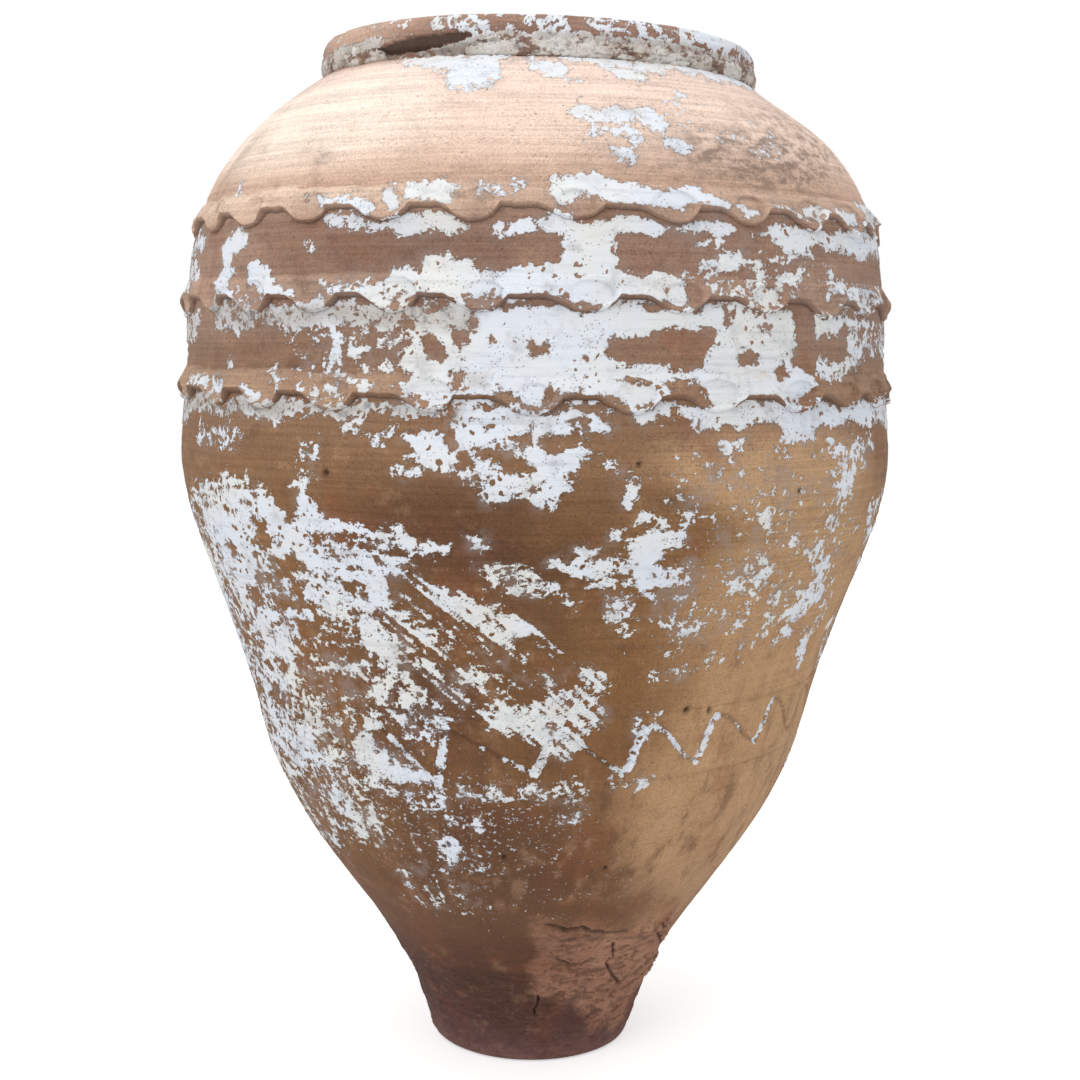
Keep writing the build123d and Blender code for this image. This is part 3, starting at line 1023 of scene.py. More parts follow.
@dataclass(frozen=True)
class HandShape:
    """The unevenness that the maker's hand and the years have left in the wall.

    An oval is given by its share, its lobes and the turn of one of them, and a hole by its turn,
    its height and its radius.
    """

    out_of_round: float = 1.4
    ovals: tuple[Point, ...] = ((0.6, 2.0, -30.0), (0.4, 3.0, 50.0))
    uneven_above: float = 260.0
    dents: float = 1.5
    lumps: float = 0.7
    ridges: float = 0.28
    thrown: Pair = (480.0, 690.0)
    thrown_ridges: float = 1.1
    least_ridges: float = 0.25
    grain: float = 0.16
    groove_heights: tuple[float, ...] = (696.0, 705.0, 840.0)
    groove_depth: float = 1.0
    groove_half_width: float = 2.6
    groove_wave: float = 1.2
    holes: tuple[Point, ...] = (
        (-30.0, 600.0, 3.4), (-18.0, 259.0, 5.0), (28.0, 390.0, 4.0), (33.0, 387.0, 3.2),
        (-6.0, 250.0, 3.0), (14.0, 612.0, 2.2), (41.0, 585.0, 2.6), (-52.0, 720.0, 2.4),
        (17.0, 236.0, 2.6), (150.0, 560.0, 3.4), (-140.0, 300.0, 4.0), (120.0, 720.0, 2.4))
    hole_depth: float = 3.0
    hole_degree: float = 5.8
    denting: Grain = Grain(230.0, 150.0, 11, 2)
    lumping: Grain = Grain(62.0, 34.0, 21)
    turning: Grain = Grain(900.0, 5.0, 31, 2, 0.75)
    roughing: Grain = Grain(6.0, 5.0, 41, 2)

    def swell(self, turn: Array, height: Array) -> Array:
        """Gives the slow unevenness that the bands follow too.

        Args:
            turn: Turns in degrees.
            height: Heights in millimetres.

        Returns:
            Lift in millimetres.
        """
        rise = smooth(height, 0.0, self.uneven_above)
        oval = sum(share * np.cos(np.radians(lobes * (turn - place)))
                   for share, lobes, place in self.ovals)
        return rise * (self.out_of_round * oval + self.dents * self.denting.at(turn, height))

    def relief(self, turn: Array, height: Array) -> tuple[Array, Array]:
        """Gives the finer unevenness of the bare wall.

        Args:
            turn: Turns in degrees.
            height: Heights in millimetres.

        Returns:
            Lift in millimetres, and the painted shade in the holes.
        """
        lift = self.lumps * self.lumping.at(turn, height)
        thrown = smooth(height, *self.thrown) * self.thrown_ridges + self.least_ridges
        lift += self.ridges * thrown * self.turning.at(turn, height)
        lift += self.grain * self.roughing.at(turn, height)
        for level in self.groove_heights:
            wave = self.groove_wave * np.sin(np.radians(turn * 2.0 + level))
            off = (height - level - wave) / self.groove_half_width
            lift -= self.groove_depth * np.clip(1.0 - off ** 2, 0.0, 1.0)
        dark = np.zeros(np.shape(turn))
        for hole_turn, hole_height, radius in self.holes:
            across = turn_apart(turn, hole_turn) * self.hole_degree
            pit = smooth(-np.hypot(across, height - hole_height), -radius - 1.0, -radius * 0.35)
            lift -= self.hole_depth * pit
            # Painted shade: each hole is painted darker towards its middle.
            dark = np.maximum(dark, pit)
        return lift, dark


@dataclass
class JarProfile:
    """Outer line of the wall through the tops of the courses, as in the solids."""

    stations: Outline = (
        (99.0, 0.0), (124.0, 70.0), (199.0, 190.0), (264.5, 307.0), (290.0, 395.0),
        (329.5, 510.0), (350.5, 602.0), (346.0, 663.0), (342.0, 744.0), (331.0, 818.0),
        (283.0, 902.0), (211.5, 957.0))
    foot_lean: float = 21.0
    neck_lean: float = 54.0
    wall_thickness: float = 22.0
    join_slant: float = 12.0
    samples: int = 4000
    tilt: float = 0.0157
    tilt_from: float = 880.0
    tilt_full: float = 960.0
    arc: Array = field(init=False)
    line: Array = field(init=False)
    facing: Array = field(init=False)

    def __post_init__(self) -> None:
        """Lays a smooth curve through the stations, with the leans at its ends."""
        knots = np.array(self.stations)
        spans = np.hypot(*np.diff(knots, axis=0).T)
        steps = np.diff(knots, axis=0) / (spans ** 2)[:, None]
        size = len(knots)
        pull, load = np.eye(size), np.zeros((size, 2))
        load[0] = sin(radians(self.foot_lean)), cos(radians(self.foot_lean))
        load[-1] = -sin(radians(self.neck_lean)), cos(radians(self.neck_lean))
        for i in range(1, size - 1):
            before, after = 1.0 / spans[i - 1], 1.0 / spans[i]
            pull[i, i - 1:i + 2] = before, 2.0 * (before + after), after
            load[i] = 3.0 * (steps[i - 1] + steps[i])
        slopes = np.linalg.solve(pull, load)
        where = np.linspace(0.0, spans.sum(), self.samples)
        starts = np.concatenate(([0.0], np.cumsum(spans)))
        span = np.clip(np.searchsorted(starts, where, side="right") - 1, 0, size - 2)
        t = ((where - starts[span]) / spans[span])[:, None]
        width = spans[span][:, None]
        self.line = ((1 + 2 * t) * (1 - t) ** 2 * knots[span]
                     + t ** 2 * (3 - 2 * t) * knots[span + 1]
                     + t * (1 - t) ** 2 * width * slopes[span]
                     - t ** 2 * (1 - t) * width * slopes[span + 1])
        lengths = np.hypot(*np.diff(self.line, axis=0).T)
        self.arc = np.concatenate(([0.0], np.cumsum(lengths)))
        along = np.gradient(self.line, self.arc, axis=0)
        along /= np.hypot(along[:, 0], along[:, 1])[:, None]
        self.facing = np.stack((along[:, 1], -along[:, 0]), axis=1)

    def at(self, arc: Array) -> tuple[Array, Array, Array, Array]:
        """Gives the radius, the height and the outward direction at lengths along the line."""
        columns = (*self.line.T, *self.facing.T)
        return tuple(np.interp(arc, self.arc, column) for column in columns)

    def arc_at(self, height: Array) -> Array:
        """Gives the length along the line at a height."""
        return np.interp(height, self.line[:, 1], self.arc)

    def radius_at(self, height: Array) -> Array:
        """Gives the radius of the wall at a height."""
        return np.interp(height, self.line[:, 1], self.line[:, 0])

    def settle(self, turn: Array, radius: Array, height: Array) -> Array:
        """Turns cylinder places into points, and lets the neck and rim lean a little to the right.

        Args:
            turn: Turns in degrees.
            radius: Radii in millimetres.
            height: Heights in millimetres.

        Returns:
            Points with x, y and z in millimetres.
        """
        x = radius * np.sin(np.radians(turn))
        y = -radius * np.cos(np.radians(turn))
        lean = self.tilt * smooth(height, self.tilt_from, self.tilt_full)
        return np.stack((x, y, height - lean * x), axis=-1)


@dataclass(frozen=True)
class WallStains:
    """Broad darker and paler places of the bare clay, and the grey growth on the shoulder."""

    darker: tuple[Cloud, ...] = (
        Cloud(-12, 480, 34, 170, 0.6), Cloud(-14, 345, 34, 110, 0.5),
        Cloud(-16, 785, 32, 34, 0.4), Cloud(0, 560, 44, 60, 0.3),
        Cloud(-8, 95, 36, 95, 0.75), Cloud(-10, 235, 38, 95, 0.6),
        Cloud(24, 862, 34, 30, 0.3), Cloud(0, 846, 40, 14, 0.15),
        Cloud(150, 480, 40, 150, 0.5), Cloud(-140, 120, 50, 100, 0.6))
    # The first two paler places, on the right of the belly and cone, are painted light: that side
    # is painted lighter as if more light fell on it.
    paler: tuple[Cloud, ...] = (
        Cloud(48, 480, 38, 190, 0.85), Cloud(50, 290, 46, 160, 1.15),
        Cloud(36, 606, 30, 56, 0.8), Cloud(-48, 896, 44, 66, 0.9),
        Cloud(44, 740, 44, 90, 0.35), Cloud(56, 120, 44, 100, 0.5),
        Cloud(-62, 770, 30, 90, 0.45), Cloud(-150, 760, 50, 60, 0.4))
    grown: tuple[Cloud, ...] = (
        Cloud(40, 868, 28, 44, 1), Cloud(56, 892, 24, 52, 0.8),
        Cloud(-35, 863, 3, 9, 0.6), Cloud(24, 850, 16, 18, 0.5),
        Cloud(-160, 880, 36, 44, 0.8), Cloud(130, 860, 26, 30, 0.6))

    def tint(self, turn: Array, height: Array) -> Array:
        """Gives the darkness of the clay, negative where it is paler."""
        return (sum(cloud.at(turn, height) for cloud in self.darker)
                - sum(cloud.at(turn, height) for cloud in self.paler))

    def growth(self, turn: Array, height: Array) -> Array:
        """Gives how thick the grey growth is."""
        return strongest(self.grown, turn, height, np.zeros(np.shape(turn)))


PROFILE = JarProfile()
LIME = LimeCoat()
FRIEZE = WaveFrieze()
FOOT = FootDecay()
HAND = HandShape()
STAINS = WallStains()


@dataclass
class RingMesh:
    """A closed skin of rows and columns round the jar, with its layers and its unwrapped map."""

    name: str
    points: Array
    layers: Layers
    normals: Array | None = None
    closed_turn: bool = True
    map_margin: float = 0.012

    def spans(self) -> int:
        """Counts the faces of a row."""
        return self.points.shape[1] - (not self.closed_turn)

    def faces(self) -> Array:
        """Lists the four-sided faces, rows first.

        Returns:
            The four corners of every face.
        """
        rows, columns = self.points.shape[:2]
        low = np.arange(rows * columns).reshape(rows, columns)
        high = np.roll(low, -1, axis=0)
        corners = (low, np.roll(low, -1, axis=1), np.roll(high, -1, axis=1), high)
        return np.stack([corner[:, :self.spans()] for corner in corners], axis=-1).reshape(-1, 4)

    def chart(self) -> Array:
        """Unwraps the skin into stacked strips, so that the map's pixels are about square.

        Returns:
            Map places of the corners of every face.
        """
        ring = np.vstack((self.points, self.points[:1]))
        climb = np.linalg.norm(np.diff(ring, axis=0), axis=2).mean(axis=1)
        girth = np.linalg.norm(np.diff(self.points, axis=1), axis=2).sum(axis=1).mean()
        strips = max(1, round(float(np.sqrt(girth / climb.sum()))))
        per_strip = -(-self.spans() // strips)
        strip, place = np.divmod(np.arange(self.spans()), per_strip)
        margin, inner = self.map_margin, 1 - 2 * self.map_margin
        up = margin + inner * np.concatenate(([0.0], np.cumsum(climb)))[:, None] / climb.sum()
        low, high = (strip + up[:-1]) / strips, (strip + up[1:]) / strips
        left, right = (np.broadcast_to(margin + inner * (place + side) / per_strip, low.shape)
                       for side in (0, 1))
        corners = ((left, low), (right, low), (right, high), (left, high))
        return np.stack([np.stack(corner, axis=-1) for corner in corners], axis=2).reshape(-1, 2)

    def build(self, finish: bpy.types.Material, slot: str) -> bpy.types.Object:
        """Makes the object, dresses it and sets it on the frame.

        Args:
            finish: Material of the piece.
            slot: The record's material slot; not used.

        Returns:
            The finished object.
        """
        faces = self.faces()
        mesh = bpy.data.meshes.new(self.name)
        mesh.vertices.add(self.points.shape[0] * self.points.shape[1])
        mesh.vertices.foreach_set("co", (self.points * MM).astype(np.float32).ravel())
        mesh.loops.add(faces.size)
        mesh.loops.foreach_set("vertex_index", faces.astype(np.int32).ravel())
        mesh.polygons.add(len(faces))
        mesh.polygons.foreach_set("loop_start", np.arange(0, faces.size, 4, dtype=np.int32))
        mesh.update(calc_edges=True)
        mesh.shade_smooth()
        for layer, values in self.layers.items():
            store = mesh.attributes.new(layer, "FLOAT", "POINT")
            store.data.foreach_set("value", values.astype(np.float32).ravel())
        chart = mesh.uv_layers.new(name="OFBake")
        chart.uv.foreach_set("vector", self.chart().astype(np.float32).ravel())
        if self.normals is not None:
            mesh.normals_split_custom_set_from_vertices(self.normals.reshape(-1, 3))
        mesh.materials.append(finish)
        if not self.closed_turn:
            self.close_ends(mesh)
        piece = bpy.data.objects.new(self.name, mesh)
        bpy.context.scene.collection.objects.link(piece)
        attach(piece, BODY)
        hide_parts(self.name)
        return piece

    def close_ends(self, mesh: bpy.types.Mesh) -> None:
        """Closes the two ends of a ring that has a gap.

        Args:
            mesh: The ring, which is changed in place.
        """
        work = bmesh.new()
        work.from_mesh(mesh)
        bmesh.ops.holes_fill(work, edges=[edge for edge in work.edges if edge.is_boundary], sides=0)
        work.to_mesh(mesh)
        work.free()


def bare_layers(shape: tuple[int, int]) -> Layers:
    """Gives the layers of clay that never had whitewash.

    Args:
        shape: Rows and columns.

    Returns:
        The layers that the clay finish reads.
    """
    names = ("haze", "soil", "specks", "fray", "dark", "decay", "crust", "tint", "lichen")
    layers = {name: np.zeros(shape) for name in names}
    layers["lime"] = np.full(shape, BARE)
    return layers


def around(turn: Array, radius: Array, height: Array) -> tuple[Array, Array, Array]:
    """Takes a section round the jar.

    Args:
        turn: Turns of the columns.
        radius: Radii of the section's points.
        height: Heights of the section's points.

    Returns:
        Grids of the turns, the radii and the heights.
    """
    return tuple(np.broadcast_arrays(turn, radius[:, None], height[:, None]))


@dataclass
class WallCourse:
    """One ring of the coil-built wall, with its worn outside, its inside and its two joins."""

    name: str
    bottom: float
    top: float
    row_step: float = 2.2
    inner_rows: int = 9
    foot: bool = False
    neck: bool = False
    floor_corner: Pair = (74.0, 30.0)
    mouth_corner: Pair = (175.0, 957.0)
    ground: float = 9.0
    foot_edge_round: float = 5.0
    foot_edge_depth: float = 3.0
    decay_roughness: float = 1.2
    fill_play: float = 0.45
    cut_darkness: float = 0.17
    inner_wave: float = 1.2
    inner_edge: float = 0.2
    waving: Grain = Grain(120.0, 16.0, 91, 2)

    def skin(self, turn: Array, arc: Array) -> tuple[Array, Layers]:
        """Shapes the worn outside.

        Args:
            turn: Turns of the columns, as a grid.
            arc: Lengths along the profile, as a grid.

        Returns:
            Points in millimetres, and the layers of the finish.
        """
        radius, height, out, up = PROFILE.at(arc)
        layers = LIME.fields(turn, height)
        lift, dark = HAND.relief(turn, height)
        decay, cracks, rough, crust = FOOT.fields(turn, height)
        cut, fill = FRIEZE.cut(turn, height)
        if (fill > FAR).any():
            filled = fill + self.fill_play * LIME.wear(turn, height)[Sweep.FLAKED]
            filled = np.maximum(layers["lime"], filled)
            layers["lime"] = np.where(fill > FAR, filled, layers["lime"])
        lift = lift * (1.0 + self.decay_roughness * rough) + decay - cut
        lift += LIME.coat(layers["lime"]) + HAND.swell(turn, height)
        ground = smooth(height, 0.0, self.ground)
        edge = 1.0 - np.clip(height / self.foot_edge_round, 0.0, 1.0)
        lift = lift * ground - self.foot_edge_depth * (1.0 - np.sqrt(1.0 - edge ** 2))
        # Painted shade: the drawn grooves are painted darker by their depth.
        shade = self.cut_darkness * np.clip(cut, 0.0, 2.4)
        # The dark layer holds painted shade: in the holes, the cracks, along the crust's steps and
        # in the drawn grooves.
        layers["dark"] = np.clip(dark + cracks + shade, 0.0, 1.0)
        layers["decay"] = rough
        layers["crust"] = crust
        layers["tint"] = STAINS.tint(turn, height) - FOOT.paleness * crust
        layers["lichen"] = STAINS.growth(turn, height)
        return PROFILE.settle(turn, radius + out * lift, height + up * lift * ground), layers

    def inside(self, arc: Array, turn: Array) -> Array:
        """Shapes the plain inside, one wall thickness in from the outside.

        Args:
            arc: Lengths along the profile from the lower to the upper join.
            turn: Turns of the columns.

        Returns:
            Points in millimetres, lowest row first.
        """
        radius, height, out, up = PROFILE.at(arc + PROFILE.join_slant)
        radius = radius - out * PROFILE.wall_thickness
        height = height - up * PROFILE.wall_thickness
        share = (arc - arc[0]) / (arc[-1] - arc[0])
        if self.foot:
            radius += (1 - share) * (self.floor_corner[0] - radius[0])
            height += (1 - share) * (self.floor_corner[1] - height[0])
        if self.neck:
            radius += share * (self.mouth_corner[0] - radius[-1])
            height += share * (self.mouth_corner[1] - height[-1])
        edge = smooth(np.minimum(share, 1 - share), 0.0, self.inner_edge)[:, None]
        grid, radius, height = around(turn, radius, height)
        wave = self.inner_wave * edge * self.waving.at(grid, height)
        return PROFILE.settle(grid, radius + wave, height)

    def build(self, finish: bpy.types.Material) -> bpy.types.Object:
        """Makes the course.

        Args:
            finish: Material of the clay.

        Returns:
            The finished object.
        """
        turn = whole_turn(COLUMNS)
        start, end = PROFILE.arc_at(np.array([self.bottom, self.top]))
        rows = int(np.ceil((end - start) / self.row_step)) + 1
        arc = np.linspace(start, end, rows)
        step = arc[1] - arc[0]
        wide_arc = np.concatenate(([start - step], arc, [end + step]))
        wide, layers = self.skin(*np.meshgrid(turn, wide_arc))
        across = np.roll(wide, -1, axis=1) - np.roll(wide, 1, axis=1)
        facing = np.cross(across, np.gradient(wide, axis=0))
        inner = self.inside(np.linspace(start, end, self.inner_rows), turn)[::-1]
        bare = bare_layers(inner.shape[:2])
        layers = {name: np.concatenate((values[1:-1], bare[name]))
                  for name, values in layers.items()}
        inner_facing = -facing[np.linspace(rows, 1, self.inner_rows).astype(int)]
        facing = np.concatenate((facing[1:-1], inner_facing))
        facing /= np.linalg.norm(facing, axis=-1, keepdims=True)
        points = np.concatenate((wide[1:-1], inner))
        return RingMesh(self.name, points, layers, facing).build(finish, CLAY_SLOT)


@dataclass
class ThumbBand:
    """A strip of clay laid over a join and pressed down with the thumb at every step."""

    name: str
    join: float
    tips: tuple[float, ...]
    seed: int
    count: int = 27
    ledge_lift: float = 1.0
    ledge_wave: float = 2.2
    drop: float = 12.0
    rise: float = 25.0
    top_wave: float = 3.0
    raggedness: float = 1.4
    roughness: float = 0.9
    ledge_front: float = 4.8
    tongue_front: float = 2.4
    ledge_thickness: float = 6.4
    tongue_thickness: float = 4.9
    lip_thickness: float = 1.0
    fall: float = 1.35
    press_play: Pair = (-0.9, 0.9)
    tongue_left: Pair = (-5.6, -4.4)
    tongue_right: Pair = (3.7, 5.0)
    tongue_reach: Pair = (0.72, 1.15)
    tongue_bottom: Pair = (-0.2, 1.1)
    thin_left: Pair = (-5.0, -1.6)
    thin_right: Pair = (-4.8, -2.6)
    dish_sizes: Pair = (0.82, 1.12)
    dish_turn: float = 0.7
    dish_rise: float = 3.5
    dish_half_turn: float = 3.3
    dish_half_height: float = 12.5
    dish_depth: float = 4.2
    crest: float = 2.7
    crest_reach: float = 0.42
    steep_side: Pair = (0.75, 0.65)
    steep_edge: Pair = (-0.1, 0.7)
    seat_depth: float = 0.9
    # Painted highlight on the band's upper face: its strength on the left and on the right, and the
    # turns where it changes over.
    highlight_left: float = 0.8
    highlight_right: float = 0.35
    highlight_turn: Pair = (-5.0, 25.0)
    bare_under: float = 16.0
    columns: int = 1680
    front_rows: int = 11
    slope_rows: int = 28
    back_rows: int = 4

    def presses(self) -> list[float]:
        """Completes the thumb presses round the unseen side.

        Returns:
            Turns of all presses, in order.
        """
        missing = self.count - len(self.tips)
        step = (self.tips[0] + 360.0 - self.tips[-1]) / (missing + 1)
        draw = np.random.default_rng(self.seed)
        unseen = [self.tips[-1] + i * step + draw.uniform(*self.press_play)
                  for i in range(1, missing + 1)]
        return list(self.tips) + unseen

    def edges(self, turn: Array) -> Layers:
        """Lays out the band along its length.

        Args:
            turn: Turns of the columns.

        Returns:
            For each column the ledge, the lower and upper edge, the turn from the nearest press,
            how much the clay is thinned there, the height of the front and the size of the dish.
        """
        draw = np.random.default_rng(self.seed + 1)
        ledge = self.join + self.ledge_lift
        ledge = ledge + self.ledge_wave * Grain(130.0, 40.0, self.seed).along(turn, self.join)
        tongue, thin = np.zeros(turn.shape), np.zeros(turn.shape)
        nearest, dish_size = np.full(turn.shape, np.inf), np.ones(turn.shape)
        for press in self.presses():
            apart = turn_apart(turn, press)
            left, right = draw.uniform(*self.tongue_left), draw.uniform(*self.tongue_right)
            reach, bottom = draw.uniform(*self.tongue_reach), draw.uniform(*self.tongue_bottom)
            rising = np.clip(1.0 - ((apart - bottom) / (right - bottom)) ** 2, 0.0, 1.0) ** 0.7
            down = np.where(apart < bottom, smooth(apart, left, bottom) ** 0.85, rising)
            tongue = np.maximum(tongue, reach * down)
            pressed = smooth(apart, *self.thin_left) * smooth(-apart, *self.thin_right)
            thin = np.maximum(thin, pressed)
            here = np.abs(apart) < np.abs(nearest)
            nearest = np.where(here, apart, nearest)
            dish_size = np.where(here, draw.uniform(*self.dish_sizes), dish_size)
        ragged = self.raggedness * Grain(18.0, 40.0, self.seed + 3, 4, 0.85).along(turn, self.join)
        wave = self.top_wave * Grain(60.0, 40.0, self.seed + 5, 2).along(turn, self.join)
        front = self.ledge_front + (self.tongue_front - self.ledge_front) * thin
        return {"ledge": ledge, "low": ledge - self.drop * tongue + ragged,
                "top": ledge + self.rise + wave, "nearest": nearest, "thin": thin, "front": front,
                "dish": dish_size}

    def thickness(self, edges: Layers, height: Array, turn: Array) -> Array:
        """Models the front of the band.

        Args:
            edges: Layout of the band.
            height: Heights of the points, as a grid.
            turn: Turns of the points, as a grid.

        Returns:
            How far the points stand out from the wall, in millimetres.
        """
        thin, front, above = edges["thin"], edges["front"], height - edges["low"]
        peak = self.ledge_thickness + (self.tongue_thickness - self.ledge_thickness) * thin
        climb = np.clip(above / front, 0.0, 1.0) ** (1.0 - 0.5 * thin)
        share = np.clip((above - front) / (edges["top"] - edges["low"] - front), 0.0, 1.0)
        body = self.lip_thickness + (peak - self.lip_thickness) * climb
        body = body * (1.0 - share) ** self.fall
        across = (edges["nearest"] - self.dish_turn) / (self.dish_half_turn * edges["dish"])
        upward = height - edges["ledge"] - self.dish_rise
        upward = upward / (self.dish_half_height * edges["dish"])
        ring = np.hypot(across, upward)
        inner = np.clip(1.0 - ring ** 2, 0.0, 1.0)
        steep = (self.steep_side[0] * across + self.steep_side[1] * upward) / np.maximum(ring, 0.2)
        steep = smooth(steep, *self.steep_edge)
        beyond = np.maximum(ring - 1.0, 0.0) / self.crest_reach
        curl = self.crest * steep * np.exp(-beyond ** 2)
        dish = steep * smooth(inner, 0.0, 0.3) + (1.0 - steep) * inner ** 1.2
        rough = self.roughness * Grain(20.0, 13.0, self.seed + 9, 4, 0.7).at(turn, height)
        fade = smooth(1.0 - share, 0.0, 0.25)
        raised = body + curl * fade * climb
        floor = np.minimum(np.maximum(0.8 * (1.0 - share), 0.3 * raised), raised)
        sunk = np.maximum(raised - (self.dish_depth + curl) * dish * climb, floor)
        return sunk + rough * (1.0 - share) * fade - self.seat_depth * share ** 2

    def build(self, finish: bpy.types.Material) -> bpy.types.Object:
        """Makes the band.

        Args:
            finish: Material of the clay.

        Returns:
            The finished object.
        """
        turn = whole_turn(self.columns)
        edges = self.edges(turn)
        low, top, thin, front = (edges[key] for key in ("low", "top", "thin", "front"))
        up_front = np.linspace(0.0, 1.0, self.front_rows)[:, None] ** 1.5 * front
        up_slope = np.linspace(0.0, 1.0, self.slope_rows + 1)[1:, None] ** 1.1
        above = np.concatenate((up_front, front + up_slope * (top - low - front)))
        height = low + above
        grid = np.broadcast_to(turn, height.shape)
        layers = LIME.fields(grid, height)
        thick = self.thickness(edges, height, grid)
        thick += LIME.coat(layers["lime"]) * smooth(top - height, 0.0, 6.0)
        wall = PROFILE.radius_at(height) + HAND.swell(grid, height)
        face = PROFILE.settle(grid, wall + thick, height)
        back_height = low + np.linspace(1.0, 0.0, self.back_rows)[:, None] * (top - low)
        back_turn = np.broadcast_to(turn, back_height.shape)
        seat = PROFILE.radius_at(back_height) + HAND.swell(back_turn, back_height)
        back = PROFILE.settle(back_turn, seat - 2.0 * self.seat_depth, back_height)
        # Painted shade: the lower front of the ledge, under its overhang, is painted dark.
        layers["dark"] = 0.7 * smooth(-above / front, -0.8, 0.0) * (1.0 - 0.7 * thin)
        # Painted highlight: the upper face of the band is painted paler through the tint, more on
        # the left.
        lit = smooth(above, 0.75 * front, front + 1.0) * smooth(top - height, 0.0, 8.0)
        to_left = smooth(-grid, *self.highlight_turn)
        pale = self.highlight_right + (self.highlight_left - self.highlight_right) * to_left
        layers["tint"] = STAINS.tint(grid, height) - pale * lit
        layers["lichen"] = STAINS.growth(grid, height)
        layers["decay"] = layers["crust"] = np.zeros(height.shape)
        under = smooth(-above / front, -1.0, -0.6) * (1.0 - thin)
        layers["lime"] = layers["lime"] - self.bare_under * under
        bare = bare_layers(back_height.shape)
        layers = {name: np.concatenate((values, bare[name])) for name, values in layers.items()}
        points = np.concatenate((face, back))
        return RingMesh(self.name, points, layers).build(finish, CLAY_SLOT)


def soften(corners: Outline, rounds: int, step: float) -> Array:
    """Rounds the corners of a closed section and divides it evenly.

    Args:
        corners: Corners of the section, as radius and height.
        rounds: How often the corners are cut.
        step: Spacing of the points along the result.

    Returns:
        Points of the section.
    """
    line = np.array(corners)
    for _ in range(rounds):
        ahead = np.roll(line, -1, axis=0)
        cut = np.stack((CORNER_KEPT * line + CORNER_CUT * ahead,
                        CORNER_CUT * line + CORNER_KEPT * ahead), 1)
        line = cut.reshape(-1, 2)
    ring = np.vstack((line, line[:1]))
    length = np.concatenate(([0.0], np.cumsum(np.hypot(*np.diff(ring, axis=0).T))))
    count = max(12, round(length[-1] / step))
    even = np.arange(count) * length[-1] / count
    return np.stack([np.interp(even, length, ring[:, axis]) for axis in (0, 1)], axis=1)


